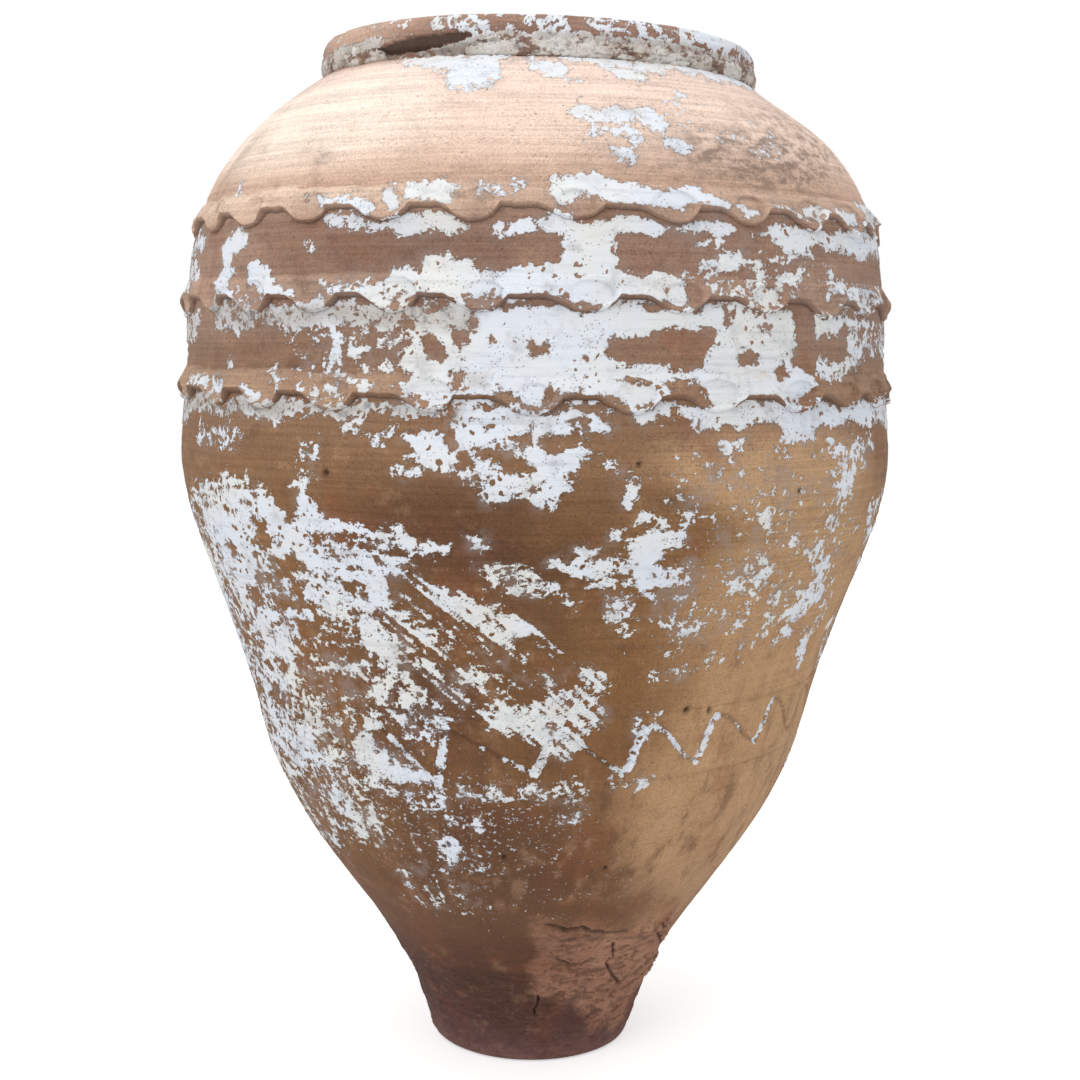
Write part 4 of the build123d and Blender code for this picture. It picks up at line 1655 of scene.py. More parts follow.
@dataclass
class RimLip:
    """The heavy rolled rim, turned on the neck, with a crease round its face.

    A chip is given by its turn, its half width in degrees and its depth.
    """

    name: str = "rim_lip"
    section: Outline = (
        (210.6, 968.2), (211.8, 972.0), (211.0, 976.4), (209.7, 977.6), (210.8, 979.2),
        (210.6, 984.0), (208.2, 989.6), (204.4, 993.2), (199.0, 994.2), (185.0, 994.0),
        (178.0, 992.4), (175.0, 987.0), (175.0, 972.0), (175.0, 957.0), (200.0, 957.0),
        (200.0, 962.0), (206.0, 965.4))
    row_step: float = 1.9
    seat: Pair = (958.0, 968.0)
    outside: Pair = (190.0, 204.0)
    top: Pair = (975.0, 990.0)
    wobble: float = 1.1
    level_wobble: float = 0.8
    wobble_rows: Pair = (500.0, 300.0)
    roughness: float = 0.35
    ring_height: float = 0.45
    top_roughness: float = 0.3
    crease: float = 976.5
    # The crease's painted shade line: its place, its edge and its darkness.
    crease_off: float = 0.6
    crease_edge: Pair = (-1.4, -0.2)
    crease_darkness: float = 0.5
    smear_row: float = 700.0
    smear_wave: float = 6.0
    smear_play: float = 5.0
    smear_edge: float = 1.2
    smear_lime: float = 4.5
    gap_loss: float = 14.0
    lime_play: float = 20.0
    gap_middle: float = -31.0
    gap_half: float = 14.0
    gap_height: float = 970.5
    gap_half_height: float = 6.5
    gap_slant: float = 3.5
    gap_depth: float = 4.0
    shades: tuple[Cloud, ...] = (
        Cloud(20, 980, 70, 60, 0.4), Cloud(-54, 980, 34, 60, -0.5))
    lime_turns: tuple[float, ...] = (-180, -95, -60, -35, -10, 10, 45, 75, 110, 180)
    lime_left: tuple[float, ...] = (-5, -7, -8, -3.5, -1, 0, 1, -0.5, -4, -5)
    chips: tuple[Point, ...] = (
        (-64.0, 5.0, 2.2), (-31.0, 3.0, 1.4), (8.0, 2.4, 1.2), (39.0, 4.5, 2.0), (118.0, 6.0, 3.0),
        (-148.0, 5.0, 2.6), (170.0, 3.0, 1.8))
    chip_corner: Pair = (209.0, 990.0)
    chip_reach: float = 7.0
    chip_drop: float = 0.6
    crumbling: Grain = Grain(30.0, 24.0, 171, 5, 0.85)
    smearing: Grain = Grain(40.0, 50.0, 177, 4, 0.7)
    swaying: Grain = Grain(260.0, 80.0, 131)
    levelling: Grain = Grain(300.0, 80.0, 137)
    roughing: Grain = Grain(18.0, 14.0, 141)
    turning: Grain = Grain(700.0, 14.0, 145, 2)

    def crumble(self, turn: Array, height: Array) -> Array:
        """Gives how the lime on the rim crumbles, from about -1 to 1."""
        return self.crumbling.at(turn, 2.0 * height - 1000.0)

    def hollow(self, turn: Array, height: Array, outer: Array) -> Array:
        """Gives how deep points lie in the hollow that the lost mortar has left.

        Args:
            turn: Turns of the points, as a grid.
            height: Heights of the points, as a grid.
            outer: 1 on the outer face and 0 inside the mouth.

        Returns:
            Values from 0 outside to 1 in the hollow.
        """
        across = turn_apart(turn, self.gap_middle) / self.gap_half
        upward = (height - self.gap_height - self.gap_slant * across) / self.gap_half_height
        inner = 1.0 - np.hypot(across, upward) + 0.4 * self.crumble(turn, height)
        return outer * smooth(inner, -0.08, 0.16)

    def lime(self, turn: Array, height: Array, outer: Array) -> Layers:
        """Works out the lime on the rim: flakes on its roll, and mortar smeared under the crease.

        Args:
            turn: Turns of the points, as a grid.
            height: Heights of the points, as a grid.
            outer: 1 on the outer face and 0 inside the mouth.

        Returns:
            The layers of the finish that the lime changes, and the painted shade of the crease and
            of the hollow.
        """
        crumble = self.crumble(turn, height)
        level = self.crease + self.smear_wave * self.smearing.along(turn, self.smear_row)
        smeared = outer * smooth(-height + self.smear_play * crumble,
                                 -level - self.smear_edge, -level + self.smear_edge)
        hollow = self.hollow(turn, height, outer)
        left = np.interp(turn, self.lime_turns, self.lime_left)
        lime = left + smeared * (self.smear_lime - left) - self.gap_loss * hollow
        lime = lime + self.lime_play * crumble
        # Painted shade: a dark line along the crease, and the hollow left by the lost mortar
        # painted dark.
        off_crease = np.abs(height - self.crease - self.crease_off)
        crease = self.crease_darkness * outer * smooth(-off_crease, *self.crease_edge)
        return {"lime": lime + BARE * (1.0 - outer), "soil": smeared * (1.0 - hollow),
                "dark": np.maximum(hollow, crease), "specks": 0.4 * outer, "haze": 0.3 * outer,
                "fray": 0.7 * outer, "tint": sum(cloud.at(turn, height) for cloud in self.shades)}

    def build(self, finish: bpy.types.Material) -> bpy.types.Object:
        """Makes the rim.

        Args:
            finish: Material of the clay.

        Returns:
            The finished object.
        """
        section = soften(self.section, 2, self.row_step)
        turn, radius, height = around(whole_turn(COLUMNS), *section.T)
        free, outer = smooth(height, *self.seat), smooth(radius, *self.outside)
        upward = 8.0 * (height - 930.0)
        sway = self.wobble * self.swaying.along(turn, self.wobble_rows[0])
        level = self.level_wobble * self.levelling.along(turn, self.wobble_rows[1])
        rough, rings = self.roughing.at(turn, upward + radius), self.turning.at(turn, upward)
        corner = np.hypot(radius - self.chip_corner[0], height - self.chip_corner[1])
        corner = corner / self.chip_reach
        chipped = np.zeros(radius.shape)
        for place, width, depth in self.chips:
            apart = turn_apart(turn, place) / width
            bite = np.clip(1.0 - apart ** 2 - corner ** 2, 0.0, 1.0)
            chipped += depth * np.sqrt(bite) * (0.7 + 0.5 * rough)
        push = (sway + self.roughness * rough + self.ring_height * rings) * free * outer
        push = push - chipped - self.gap_depth * self.hollow(turn, height, outer)
        lift = (level + self.top_roughness * rough) * free * smooth(height, *self.top)
        lift = lift - self.chip_drop * chipped
        layers = bare_layers(radius.shape)
        layers.update(self.lime(turn, height, outer))
        coat = LIME.coat(layers["lime"]) * outer
        points = PROFILE.settle(turn, radius + push + coat, height + lift)
        return RingMesh(self.name, points, layers).build(finish, CLAY_SLOT)


@dataclass
class RimMortar:
    """Lime mortar packed in the undercut of the rim, lost over a stretch at the front left."""

    name: str = "rim_lime_fill"
    section: Outline = (
        (200.4, 957.2), (209.6, 957.2), (211.8, 960.0), (213.0, 965.0), (213.2, 970.0),
        (211.0, 972.5), (206.0, 966.2), (200.4, 963.0))
    seat: float = 966.2
    outside: Pair = (203.0, 209.0)
    smear: float = 2.4
    smear_row: float = 620.0
    gap_start: float = -42.0
    gap_end: float = -18.0
    end_turn: float = 4.0
    end_depth: float = 4.0
    row_step: float = 1.1
    roughness: float = 1.3
    hollows: float = 1.6
    hollow_row: float = 200.0
    hollow_edge: Pair = (0.2, 0.6)
    smearing: Grain = Grain(34.0, 60.0, 153, 5, 0.8)
    lumping: Grain = Grain(22.0, 20.0, 151, 5, 0.75)
    hollowing: Grain = Grain(90.0, 60.0, 157)

    def build(self, finish: bpy.types.Material) -> bpy.types.Object:
        """Makes the mortar.

        Args:
            finish: Material of the mortar.

        Returns:
            The finished object.
        """
        section = soften(self.section, 1, self.row_step)
        start, end = self.gap_end, self.gap_start + 360.0
        turn, radius, height = around(np.linspace(start, end, COLUMNS), *section.T)
        ends = smooth(np.minimum(turn - start, end - turn), 0.0, self.end_turn)
        ragged = self.smearing.along(turn, self.smear_row)
        above = np.maximum(height - self.seat, 0.0)
        height = height + above * np.clip(self.smear * ragged, -1.0, 0.9) - above * (1.0 - ends)
        lumps = self.lumping.at(turn, 6.0 * (height - 900.0))
        hollow = smooth(self.hollowing.along(turn, self.hollow_row), *self.hollow_edge)
        push = self.roughness * lumps - self.hollows * hollow - self.end_depth * (1.0 - ends)
        push = push * smooth(radius, *self.outside)
        points = PROFILE.settle(turn, radius + push, height)
        # How high the lumps stand; the mortar's finish paints shade in the hollows between them.
        layers = {"lump_rise": smooth(lumps, -0.6, 0.8)}
        ring = RingMesh(self.name, points, layers, closed_turn=False)
        return ring.build(finish, MORTAR_SLOT)


@dataclass
class FloorDisc:
    """The slab that the jar was started on, with turning marks on its upper face."""

    name: str = "floor_disc"
    radius: float = 74.0
    thickness: float = 30.0
    eye: float = 0.6
    columns: int = 240
    under_rows: int = 12
    over_rows: int = 60
    mark_height: float = 0.9
    marking: Grain = Grain(800.0, 26.0, 161)

    def build(self, finish: bpy.types.Material) -> bpy.types.Object:
        """Makes the slab.

        Args:
            finish: Material of the clay.

        Returns:
            The finished object.
        """
        under = np.linspace(self.eye, self.radius, self.under_rows)
        over = np.linspace(self.radius, self.eye, self.over_rows)
        height = np.repeat((0.0, self.thickness), (self.under_rows, self.over_rows))
        turn, wide, tall = around(
            whole_turn(self.columns), np.concatenate((under, over)), height)
        inside = smooth(-wide, -self.radius + 1.0, -self.radius + 8.0)
        marks = self.mark_height * self.marking.at(turn + wide * 2.0, wide * 6.0)
        tall = tall + np.where(tall > 0.0, marks, 0.0) * inside
        points = PROFILE.settle(turn, wide, tall)
        return RingMesh(self.name, points, bare_layers(turn.shape)).build(finish, CLAY_SLOT)


class Speckle(NamedTuple):
    """Recipe of shader noise: cells in a metre, finer layers, and its pull on the axes."""

    scale: float
    detail: float = 3.0
    roughness: float = 0.55
    distortion: float = 0.0
    stretch: Point | None = None


class NodeBench:
    """Adds and wires the nodes of a material or of the world."""

    def __init__(self, owner: bpy.types.Material | bpy.types.World) -> None:
        """Starts with an empty node tree.

        Args:
            owner: The material or world that the nodes are for.
        """
        owner.use_nodes = True
        self.nodes = owner.node_tree.nodes
        self.links = owner.node_tree.links
        self.nodes.clear()

    def make(self, kind: str, inputs: dict[int | str, object],
             **settings: object) -> bpy.types.Node:
        """Adds a node.

        Args:
            kind: Kind of the node.
            inputs: Constants or sockets for its inputs.
            settings: Its other settings.

        Returns:
            The node.
        """
        node = self.nodes.new("ShaderNode" + kind)
        for setting, value in settings.items():
            setattr(node, setting, value)
        for name, value in inputs.items():
            if isinstance(value, Socket):
                self.links.new(value, node.inputs[name])
            else:
                node.inputs[name].default_value = value
        return node

    def math(self, operation: str, *values: object) -> Socket:
        """Adds a sum of constants or sockets."""
        return self.make("Math", dict(enumerate(values)), operation=operation).outputs[0]

    def times(self, first: object, *others: object) -> Socket:
        """Multiplies constants or sockets.

        Args:
            first: First factor, which is the result where there is no other.
            others: The other factors.

        Returns:
            Socket of the product.
        """
        for other in others:
            first = self.math("MULTIPLY", first, other)
        return first

    def ease(self, value: Socket, low: float, high: float, start: float = 0.0,
             end: float = 1.0) -> Socket:
        """Eases a value from start at low to end at high.

        Args:
            value: Socket of the value.
            low: Where the easing starts.
            high: Where it ends.
            start: Result at low.
            end: Result at high.

        Returns:
            Socket of the result.
        """
        inputs = dict(enumerate((value, low, high, start, end)))
        return self.make("MapRange", inputs, interpolation_type="SMOOTHSTEP").outputs[0]

    def mix(self, share: object, first: object, second: object, blend: str = "MIX") -> Socket:
        """Blends two colours.

        Args:
            share: Share of the second colour.
            first: First colour or socket.
            second: Second colour or socket.
            blend: Way of blending.

        Returns:
            Socket of the blended colour.
        """
        first, second = ((*colour, 1.0) if isinstance(colour, tuple) else colour
                         for colour in (first, second))
        inputs = {0: share, 6: first, 7: second}
        return self.make("Mix", inputs, data_type="RGBA", blend_type=blend).outputs[2]

    def places(self) -> Socket:
        """Gives the places on the object, in metres."""
        return self.make("TexCoord", {}).outputs["Object"]

    def height(self, at: Socket) -> Socket:
        """Gives the height above the ground, in metres."""
        return self.make("SeparateXYZ", {0: at}).outputs[2]

    def layer(self, name: str) -> Socket:
        """Reads a layer of the mesh."""
        return self.make("Attribute", {}, attribute_name=name).outputs["Fac"]

    def noise(self, at: Socket, recipe: Speckle) -> Socket:
        """Adds a cloud of noise.

        Args:
            at: Places on the object.
            recipe: What the cloud is like.

        Returns:
            Socket of the noise, about 0.5 in the middle.
        """
        if recipe.stretch:
            pull = {0: at, 1: recipe.stretch}
            at = self.make("VectorMath", pull, operation="MULTIPLY").outputs[0]
        return self.make("TexNoise", {
            "Vector": at, "Scale": recipe.scale, "Detail": recipe.detail,
            "Roughness": recipe.roughness, "Distortion": recipe.distortion}).outputs[0]

    def cells(self, at: Socket, scale: float, output: str = "Distance") -> Socket:
        """Adds a field of scattered cells and gives the distance or the colour in them."""
        return self.make("TexVoronoi", {"Vector": at, "Scale": scale}).outputs[output]

    def ramp(self, share: Socket, stops: tuple[tuple[float, Colour], ...]) -> Socket:
        """Adds a run of colours.

        Args:
            share: Socket of the place along the run.
            stops: Places and colours.

        Returns:
            Socket of the colour.
        """
        node = self.make("ValToRGB", {0: share})
        marks = node.color_ramp.elements
        while len(marks) < len(stops):
            marks.new(0.5)
        for mark, (place, colour) in zip(marks, stops):
            mark.position = place
            mark.color = (*colour, 1.0)
        return node.outputs[0]

    def bump(self, rise: Socket, depth: float, strength: float) -> Socket:
        """Turns a fine rise, in metres at full height, into the way that the surface faces."""
        inputs = {"Height": rise, "Distance": depth, "Strength": strength}
        return self.make("Bump", inputs).outputs[0]

    def seen(self) -> Socket:
        """Tells the rays that show a surface, straight or mirrored, from those that light others.

        Returns:
            Socket that is 1 for such a ray and 0 for any other.
        """
        rays = self.make("LightPath", {}).outputs
        straight = self.math("MAXIMUM", rays["Is Camera Ray"], rays["Is Glossy Ray"])
        return self.math("MAXIMUM", straight, rays["Is Transmission Ray"])

    def surface(self, inputs: dict[str, object]) -> None:
        """Ends a material in a shader with some inputs."""
        shader = self.make("BsdfPrincipled", inputs)
        self.make("OutputMaterial", {0: shader.outputs[0]})


@dataclass
class Paint:
    """A colour that is built up wash by wash."""

    bench: NodeBench
    colour: Socket

    def wash(self, over: object, *shares: object, blend: str = "MIX") -> None:
        """Lays a colour over the paint, by the product of some shares."""
        self.colour = self.bench.mix(self.bench.times(*shares), self.colour, over, blend)


def tone(red: int, green: int, blue: int) -> Colour:
    """Turns a screen colour from 0 to 255 into the linear colour that a shader takes."""
    parts = (red / 255.0, green / 255.0, blue / 255.0)
    return tuple(p / 12.92 if p <= 0.04045 else ((p + 0.055) / 1.055) ** 2.4 for p in parts)


@dataclass(frozen=True)
class WhitewashedClay:
    """Weathered earthenware: warm clay, paler up the shoulder partly as painted light, under the
    remains of a lime wash.
    """

    # The paler stops up the shoulder, from 0.845 to 0.954, are partly the clay's own colour and
    # partly painted light from above.
    heights: tuple[tuple[float, Colour], ...] = (
        (0.00, tone(150, 110, 102)), (0.018, tone(118, 84, 79)), (0.05, tone(94, 63, 57)),
        (0.10, tone(92, 62, 51)), (0.16, tone(110, 76, 53)), (0.25, tone(125, 88, 57)),
        (0.40, tone(132, 94, 58)), (0.55, tone(132, 95, 59)), (0.65, tone(140, 107, 81)),
        (0.74, tone(142, 112, 95)), (0.81, tone(152, 120, 102)), (0.845, tone(206, 172, 150)),
        (0.88, tone(234, 206, 188)), (0.954, tone(236, 212, 198)), (0.962, tone(156, 120, 103)),
        (0.99, tone(172, 137, 119)))
    dark_clay: Colour = tone(92, 62, 44)
    damp_clay: Colour = tone(84, 53, 37)
    ruddy_clay: Colour = tone(136, 80, 52)
    pale_clay: Colour = tone(190, 154, 124)
    # Paler colours screened over the clay by height: partly real paler tone, partly painted light,
    # the highlight on the bands' upper faces and the lit right of the belly and cone.
    bleach_and_light: Colour = (0.33, 0.2, 0.11)
    blush: Colour = (0.22, 0.145, 0.105)
    flush: Colour = (0.5, 0.34, 0.25)
    # Soot-dark colour for grit, crumbs and dirt, and for painted shade.
    soot_and_shade: Colour = tone(52, 40, 34)
    lichen: Colour = tone(108, 90, 80)
    haze: Colour = tone(178, 164, 158)
    crumb: Colour = tone(162, 118, 96)
    crust: Colour = tone(186, 138, 112)
    cool_lime: Colour = tone(226, 231, 240)
    warm_lime: Colour = tone(230, 230, 226)
    grey_lime: Colour = tone(164, 162, 164)
    beige_lime: Colour = tone(186, 178, 170)
    ochre: Colour = tone(206, 186, 160)
    streaks: Speckle = Speckle(1.0, 5.0, 0.7, stretch=(7.0, 7.0, 330.0))
    mottle: Speckle = Speckle(38.0, 6.0, 0.66)
    grain: Speckle = Speckle(520.0, 3.0, 0.7)
    clay_clouds: Speckle = Speckle(6.5, 5.0, 0.62, 0.5)
    rust: Speckle = Speckle(13.0, 6.0, 0.66, 0.4)
    runs: Speckle = Speckle(1.0, 4.0, 0.6, stretch=(52.0, 52.0, 4.0))
    grit: Speckle = Speckle(260.0, 2.0, 0.5)
    growth: Speckle = Speckle(1.0, 7.0, 0.75, stretch=(60.0, 60.0, 120.0))
    crumbs: Speckle = Speckle(62.0, 8.0, 0.78, stretch=(1.0, 1.0, 2.4))
    flaky: Speckle = Speckle(70.0, 8.0, 0.72, stretch=(1.0, 1.0, 2.6))
    lime_clouds: Speckle = Speckle(9.0, 4.0, 0.6)
    brushed: Speckle = Speckle(1.0, 4.0, 0.65, stretch=(14.0, 14.0, 210.0))
    stain: Speckle = Speckle(26.0, 7.0, 0.72, 0.6)
    dirt: Speckle = Speckle(75.0, 7.0, 0.75)
    dots: Speckle = Speckle(250.0, 4.0, 0.66)
    lumps: Speckle = Speckle(70.0, 5.0, 0.6)
    pitted: Speckle = Speckle(60.0, 4.0)
    pit_cells: float = 380.0
    crater_cells: float = 85.0
    stir_cells: float = 160.0
    stir_depth: float = 0.009
    flakes: Outline = ((95.0, 5.5), (240.0, 6.0))
    ragged: Speckle = Speckle(105.0, 7.0, 0.74, stretch=(1.0, 1.0, 1.4))
    ragged_play: float = 30.0
    spot_cells: float = 105.0
    spotted: Speckle = Speckle(24.0, 4.0, 0.6)
    spot_depth: float = 24.0
    bump_depth: float = 0.0012
    bump_strength: float = 0.9

    def clay(self, bench: NodeBench, at: Socket, mottle: Socket, streaks: Socket,
             grain: Socket) -> Socket:
        """Colours the bare clay.

        Args:
            bench: Where the nodes are added.
            at: Places on the object.
            mottle: Middling cloudiness.
            streaks: Level streaks from the turning.
            grain: Fine grain.

        Returns:
            Socket of the colour.
        """
        ease, height = bench.ease, bench.height(at)
        clouds, rust, runs, grit, growth, crumbs = (
            bench.noise(at, recipe) for recipe in (
                self.clay_clouds, self.rust, self.runs, self.grit, self.growth, self.crumbs))
        tint, decay = bench.layer("tint"), bench.layer("decay")
        paint = Paint(bench, bench.ramp(height, self.heights))
        stained = bench.times(tint, ease(clouds, 0.3, 0.6, 0.6, 1.0))
        paint.wash(self.damp_clay, ease(stained, 0.0, 1.0, 0.0, 0.85))
        # Where the tint is negative the clay is screened paler: partly real paler tone, partly
        # painted light on the bands' upper faces and on the right of the belly and cone.
        pale_and_lit = Paint(bench, bench.mix(ease(height, 0.6, 0.7), self.bleach_and_light, self.blush))
        pale_and_lit.wash(self.flush, ease(height, 0.8, 0.83))
        paint.wash(pale_and_lit.colour, ease(tint, 0.0, -1.0), blend="SCREEN")
        paint.wash(self.crust, bench.layer("crust"), 0.85)
        paint.wash(self.dark_clay, ease(clouds, 0.54, 0.76, 0.0, 0.35))
        paint.wash(self.ruddy_clay, ease(height, 0.84, 0.8), ease(rust, 0.5, 0.68, 0.0, 0.38))
        paint.wash(self.dark_clay, ease(height, 0.82, 0.86, 1.0, 0.3),
                   ease(mottle, 0.5, 0.74, 0.0, 0.45))
        paint.wash(self.bleach_and_light, ease(mottle, 0.46, 0.28, 0.0, 0.35), blend="SCREEN")
        low = bench.times(ease(height, 0.46, 0.30), ease(height, 0.15, 0.22))
        paint.wash(self.dark_clay, low, ease(runs, 0.5, 0.72, 0.0, 0.6))
        paint.wash(self.pale_clay, low, ease(runs, 0.46, 0.3, 0.0, 0.28))
        lines = bench.times(ease(height, 0.34, 0.62, 0.3, 1.0),
                            ease(streaks, 0.25, 0.75, -0.2, 0.18))
        shade = bench.math("ADD", lines, ease(grain, 0.25, 0.75, 0.8, 1.2))
        grey = bench.make("CombineColor", dict.fromkeys(range(3), shade))
        paint.wash(grey.outputs[0], 1.0, blend="MULTIPLY")
        paint.wash(self.soot_and_shade, ease(grit, 0.66, 0.74, 0.0, 0.5))
        paint.wash(self.lichen, bench.layer("lichen"), ease(growth, 0.4, 0.62), 0.75)
        paint.wash(self.haze, bench.layer("haze"), ease(mottle, 0.46, 0.66, 0.0, 0.36))
        paint.wash(self.soot_and_shade, decay, ease(crumbs, 0.52, 0.7, 0.0, 0.6))
        paint.wash(self.crumb, decay, ease(crumbs, 0.48, 0.3, 0.0, 0.5))
        # Painted shade: the dark layer paints shade under the band ledges, in the drawn grooves,
        # holes and cracks, along the foot's crust steps and in the rim's crease and hollow.
        paint.wash(self.soot_and_shade, bench.layer("dark"), 0.85)
        return paint.colour

    def coverage(self, bench: NodeBench, at: Socket) -> Socket:
        """Crumbles the edge of the lime into angular flakes.

        Args:
            bench: Where the nodes are added.
            at: Places on the object.

        Returns:
            Socket of the millimetres inside the lime.
        """
        stir = bench.make("TexNoise", {"Vector": at, "Scale": self.stir_cells, "Detail": 4.0})
        moved = {0: stir.outputs["Color"], 1: (self.stir_depth,) * 3, 2: at}
        bent = bench.make("VectorMath", moved, operation="MULTIPLY_ADD").outputs[0]
        crumbled = 0.0
        for scale, play in self.flakes:
            split = bench.make("SeparateColor", {0: bench.cells(bent, scale, "Color")})
            uneven = bench.math("SUBTRACT", split.outputs[0], 0.5)
            crumbled = bench.math("MULTIPLY_ADD", uneven, play, crumbled)
        uneven = bench.math("SUBTRACT", bench.noise(at, self.ragged), 0.5)
        crumbled = bench.math("MULTIPLY_ADD", uneven, self.ragged_play, crumbled)
        inside = bench.math("MULTIPLY_ADD", crumbled, bench.layer("fray"), bench.layer("lime"))
        spots = bench.times(bench.ease(bench.cells(bent, self.spot_cells), 0.3, 0.18),
                            bench.ease(bench.noise(at, self.spotted), 0.5, 0.6))
        return bench.math("MULTIPLY_ADD", spots, -self.spot_depth, inside)

    def whitewash(self, bench: NodeBench, at: Socket, mottle: Socket, inside: Socket, clay: Socket,
                  pits: Socket) -> Socket:
        """Colours the lime.

        Args:
            bench: Where the nodes are added.
            at: Places on the object.
            mottle: Middling cloudiness.
            inside: Millimetres inside the lime.
            clay: Colour of the clay under it.
            pits: Where the lime is pitted.

        Returns:
            Socket of the colour.
        """
        ease, soil = bench.ease, bench.layer("soil")
        clouds, brushed, stain, dirt = (
            bench.noise(at, recipe)
            for recipe in (self.lime_clouds, self.brushed, self.stain, self.dirt))
        paint = Paint(bench, bench.mix(ease(clouds, 0.4, 0.68), self.cool_lime, self.warm_lime))
        paint.wash(self.grey_lime, ease(brushed, 0.5, 0.75, 0.0, 0.35))
        paint.wash(self.grey_lime, ease(mottle, 0.5, 0.74, 0.0, 0.5))
        paint.wash(self.ochre, ease(stain, 0.57, 0.75, 0.0, 0.5))
        # Soiled lime under the bands' ledges is painted beige, grey and pitted: partly dirt, partly
        # painted shade.
        paint.wash(self.beige_lime, soil, ease(mottle, 0.3, 0.6, 0.55, 0.95))
        off_ring = bench.math("SUBTRACT", bench.cells(at, self.crater_cells), 0.36)
        crater = ease(bench.math("ABSOLUTE", off_ring), 0.1, 0.02, 0.0, 0.55)
        paint.wash(self.soot_and_shade, soil, crater, ease(dirt, 0.4, 0.6))
        grime_and_shade = bench.math("MULTIPLY_ADD", soil, 0.14, dirt)
        paint.wash(self.grey_lime, ease(grime_and_shade, 0.6, 0.78, 0.0, 0.6))
        paint.wash(self.soot_and_shade, ease(grime_and_shade, 0.7, 0.82, 0.0, 0.8))
        paint.wash(clay, ease(inside, 2.2, 0.2, 0.0, 0.25))
        # Painted shade from the dark layer, on the lime as well.
        paint.wash(self.soot_and_shade, ease(bench.layer("dark"), 0.6, 0.95, 0.0, 0.8))
        paint.wash(self.soot_and_shade, pits, 0.6)
        return paint.colour

    def build(self) -> bpy.types.Material:
        """Makes the material.

        Returns:
            The finished material.
        """
        material = bpy.data.materials.new("whitewashed_clay")
        bench = NodeBench(material)
        ease, at = bench.ease, bench.places()
        streaks, mottle, grain, pitted, dots, lumps, flaky = (
            bench.noise(at, recipe) for recipe in (
                self.streaks, self.mottle, self.grain, self.pitted, self.dots, self.lumps,
                self.flaky))
        pits = bench.times(ease(bench.cells(at, self.pit_cells), 0.26, 0.12),
                           ease(pitted, 0.46, 0.58))
        clay = self.clay(bench, at, mottle, streaks, grain)
        inside = self.coverage(bench, at)
        dots = bench.math("MULTIPLY_ADD", bench.layer("specks"), 0.17, dots)
        mask = bench.math("MAXIMUM", ease(inside, -0.15, 0.15), ease(dots, 0.765, 0.775))
        lime = self.whitewash(bench, at, mottle, inside, clay, pits)
        # The clay is darkened in a narrow rim just outside the lime's edge.
        clay = bench.mix(ease(inside, -1.5, -0.2, 0.0, 0.4), clay, self.dark_clay)
        rise = bench.times(grain, 0.3)
        for part, share in ((mask, 0.7), (bench.times(lumps, mask), 1.1), (streaks, 0.5),
                            (bench.times(flaky, bench.layer("decay")), 4.0), (pits, -0.7)):
            rise = bench.math("MULTIPLY_ADD", part, share, rise)
        bench.surface({
            "Base Color": bench.mix(mask, clay, lime),
            "Roughness": ease(mask, 0.0, 1.0, 0.82, 0.94), "Specular IOR Level": 0.3,
            "Normal": bench.bump(rise, self.bump_depth, self.bump_strength)})
        return material


@dataclass(frozen=True)
class CoarseMortar:
    """Beige-grey lime mortar with sand and pits."""

    pale: Colour = tone(230, 227, 222)
    sandy: Colour = tone(196, 184, 172)
    grey: Colour = tone(158, 151, 146)
    brown: Colour = tone(132, 100, 84)
    pit: Colour = tone(70, 56, 50)
    cloud: Speckle = Speckle(42.0, 6.0, 0.68)
    broad: Speckle = Speckle(11.0, 4.0, 0.6)
    sand: Speckle = Speckle(420.0, 3.0, 0.6)
    crumbs: Speckle = Speckle(85.0, 7.0, 0.75)
    bared: Speckle = Speckle(34.0, 8.0, 0.72, stretch=(1.0, 1.0, 1.8))
    bump_depth: float = 0.0022
    bump_strength: float = 0.9

    def build(self) -> bpy.types.Material:
        """Makes the material.

        Returns:
            The finished material.
        """
        material = bpy.data.materials.new("coarse_lime_mortar")
        bench = NodeBench(material)
        ease, at = bench.ease, bench.places()
        cloud, broad, sand, crumbs, bared = (
            bench.noise(at, recipe)
            for recipe in (self.cloud, self.broad, self.sand, self.crumbs, self.bared))
        paint = Paint(bench, bench.mix(ease(cloud, 0.35, 0.65), self.pale, self.sandy))
        paint.wash(self.grey, ease(broad, 0.5, 0.68, 0.0, 0.7))
        paint.wash(self.brown, ease(bared, 0.545, 0.56, 0.0, 0.9))
        paint.wash(self.brown, ease(crumbs, 0.56, 0.6, 0.0, 0.7))
        # Painted shade: the hollows between the lumps are painted darker.
        paint.wash(self.pit, ease(bench.layer("lump_rise"), 0.45, 0.0, 0.0, 0.6))
        paint.wash(self.pale, ease(crumbs, 0.4, 0.34, 0.0, 0.8))
        paint.wash(self.pit, ease(sand, 0.6, 0.7, 0.0, 0.5))
        rise = bench.math("MULTIPLY_ADD", crumbs, 1.2, cloud)
        rise = bench.math("MULTIPLY_ADD", sand, 0.5, rise)
        bench.surface({
            "Base Color": paint.colour, "Roughness": ease(sand, 0.3, 0.7, 0.88, 0.98),
            "Specular IOR Level": 0.25,
            "Normal": bench.bump(rise, self.bump_depth, self.bump_strength)})
        return material


@dataclass(frozen=True)
class Lamp:
    """A square soft light: its place and aim in metres, its side, and its power in watts."""

    name: str
    place: Point
    aim: Point
    size: float
    power: float

    def build(self) -> None:
        """Hangs the light."""
        data = bpy.data.lights.new(self.name, "AREA")
        data.size, data.energy = self.size, self.power
        lamp = bpy.data.objects.new(self.name, data)
        lamp.location = self.place
        aim = Vector(self.aim) - Vector(self.place)
        lamp.rotation_euler = aim.to_track_quat("-Z", "Y").to_euler()
        bpy.context.scene.collection.objects.link(lamp)


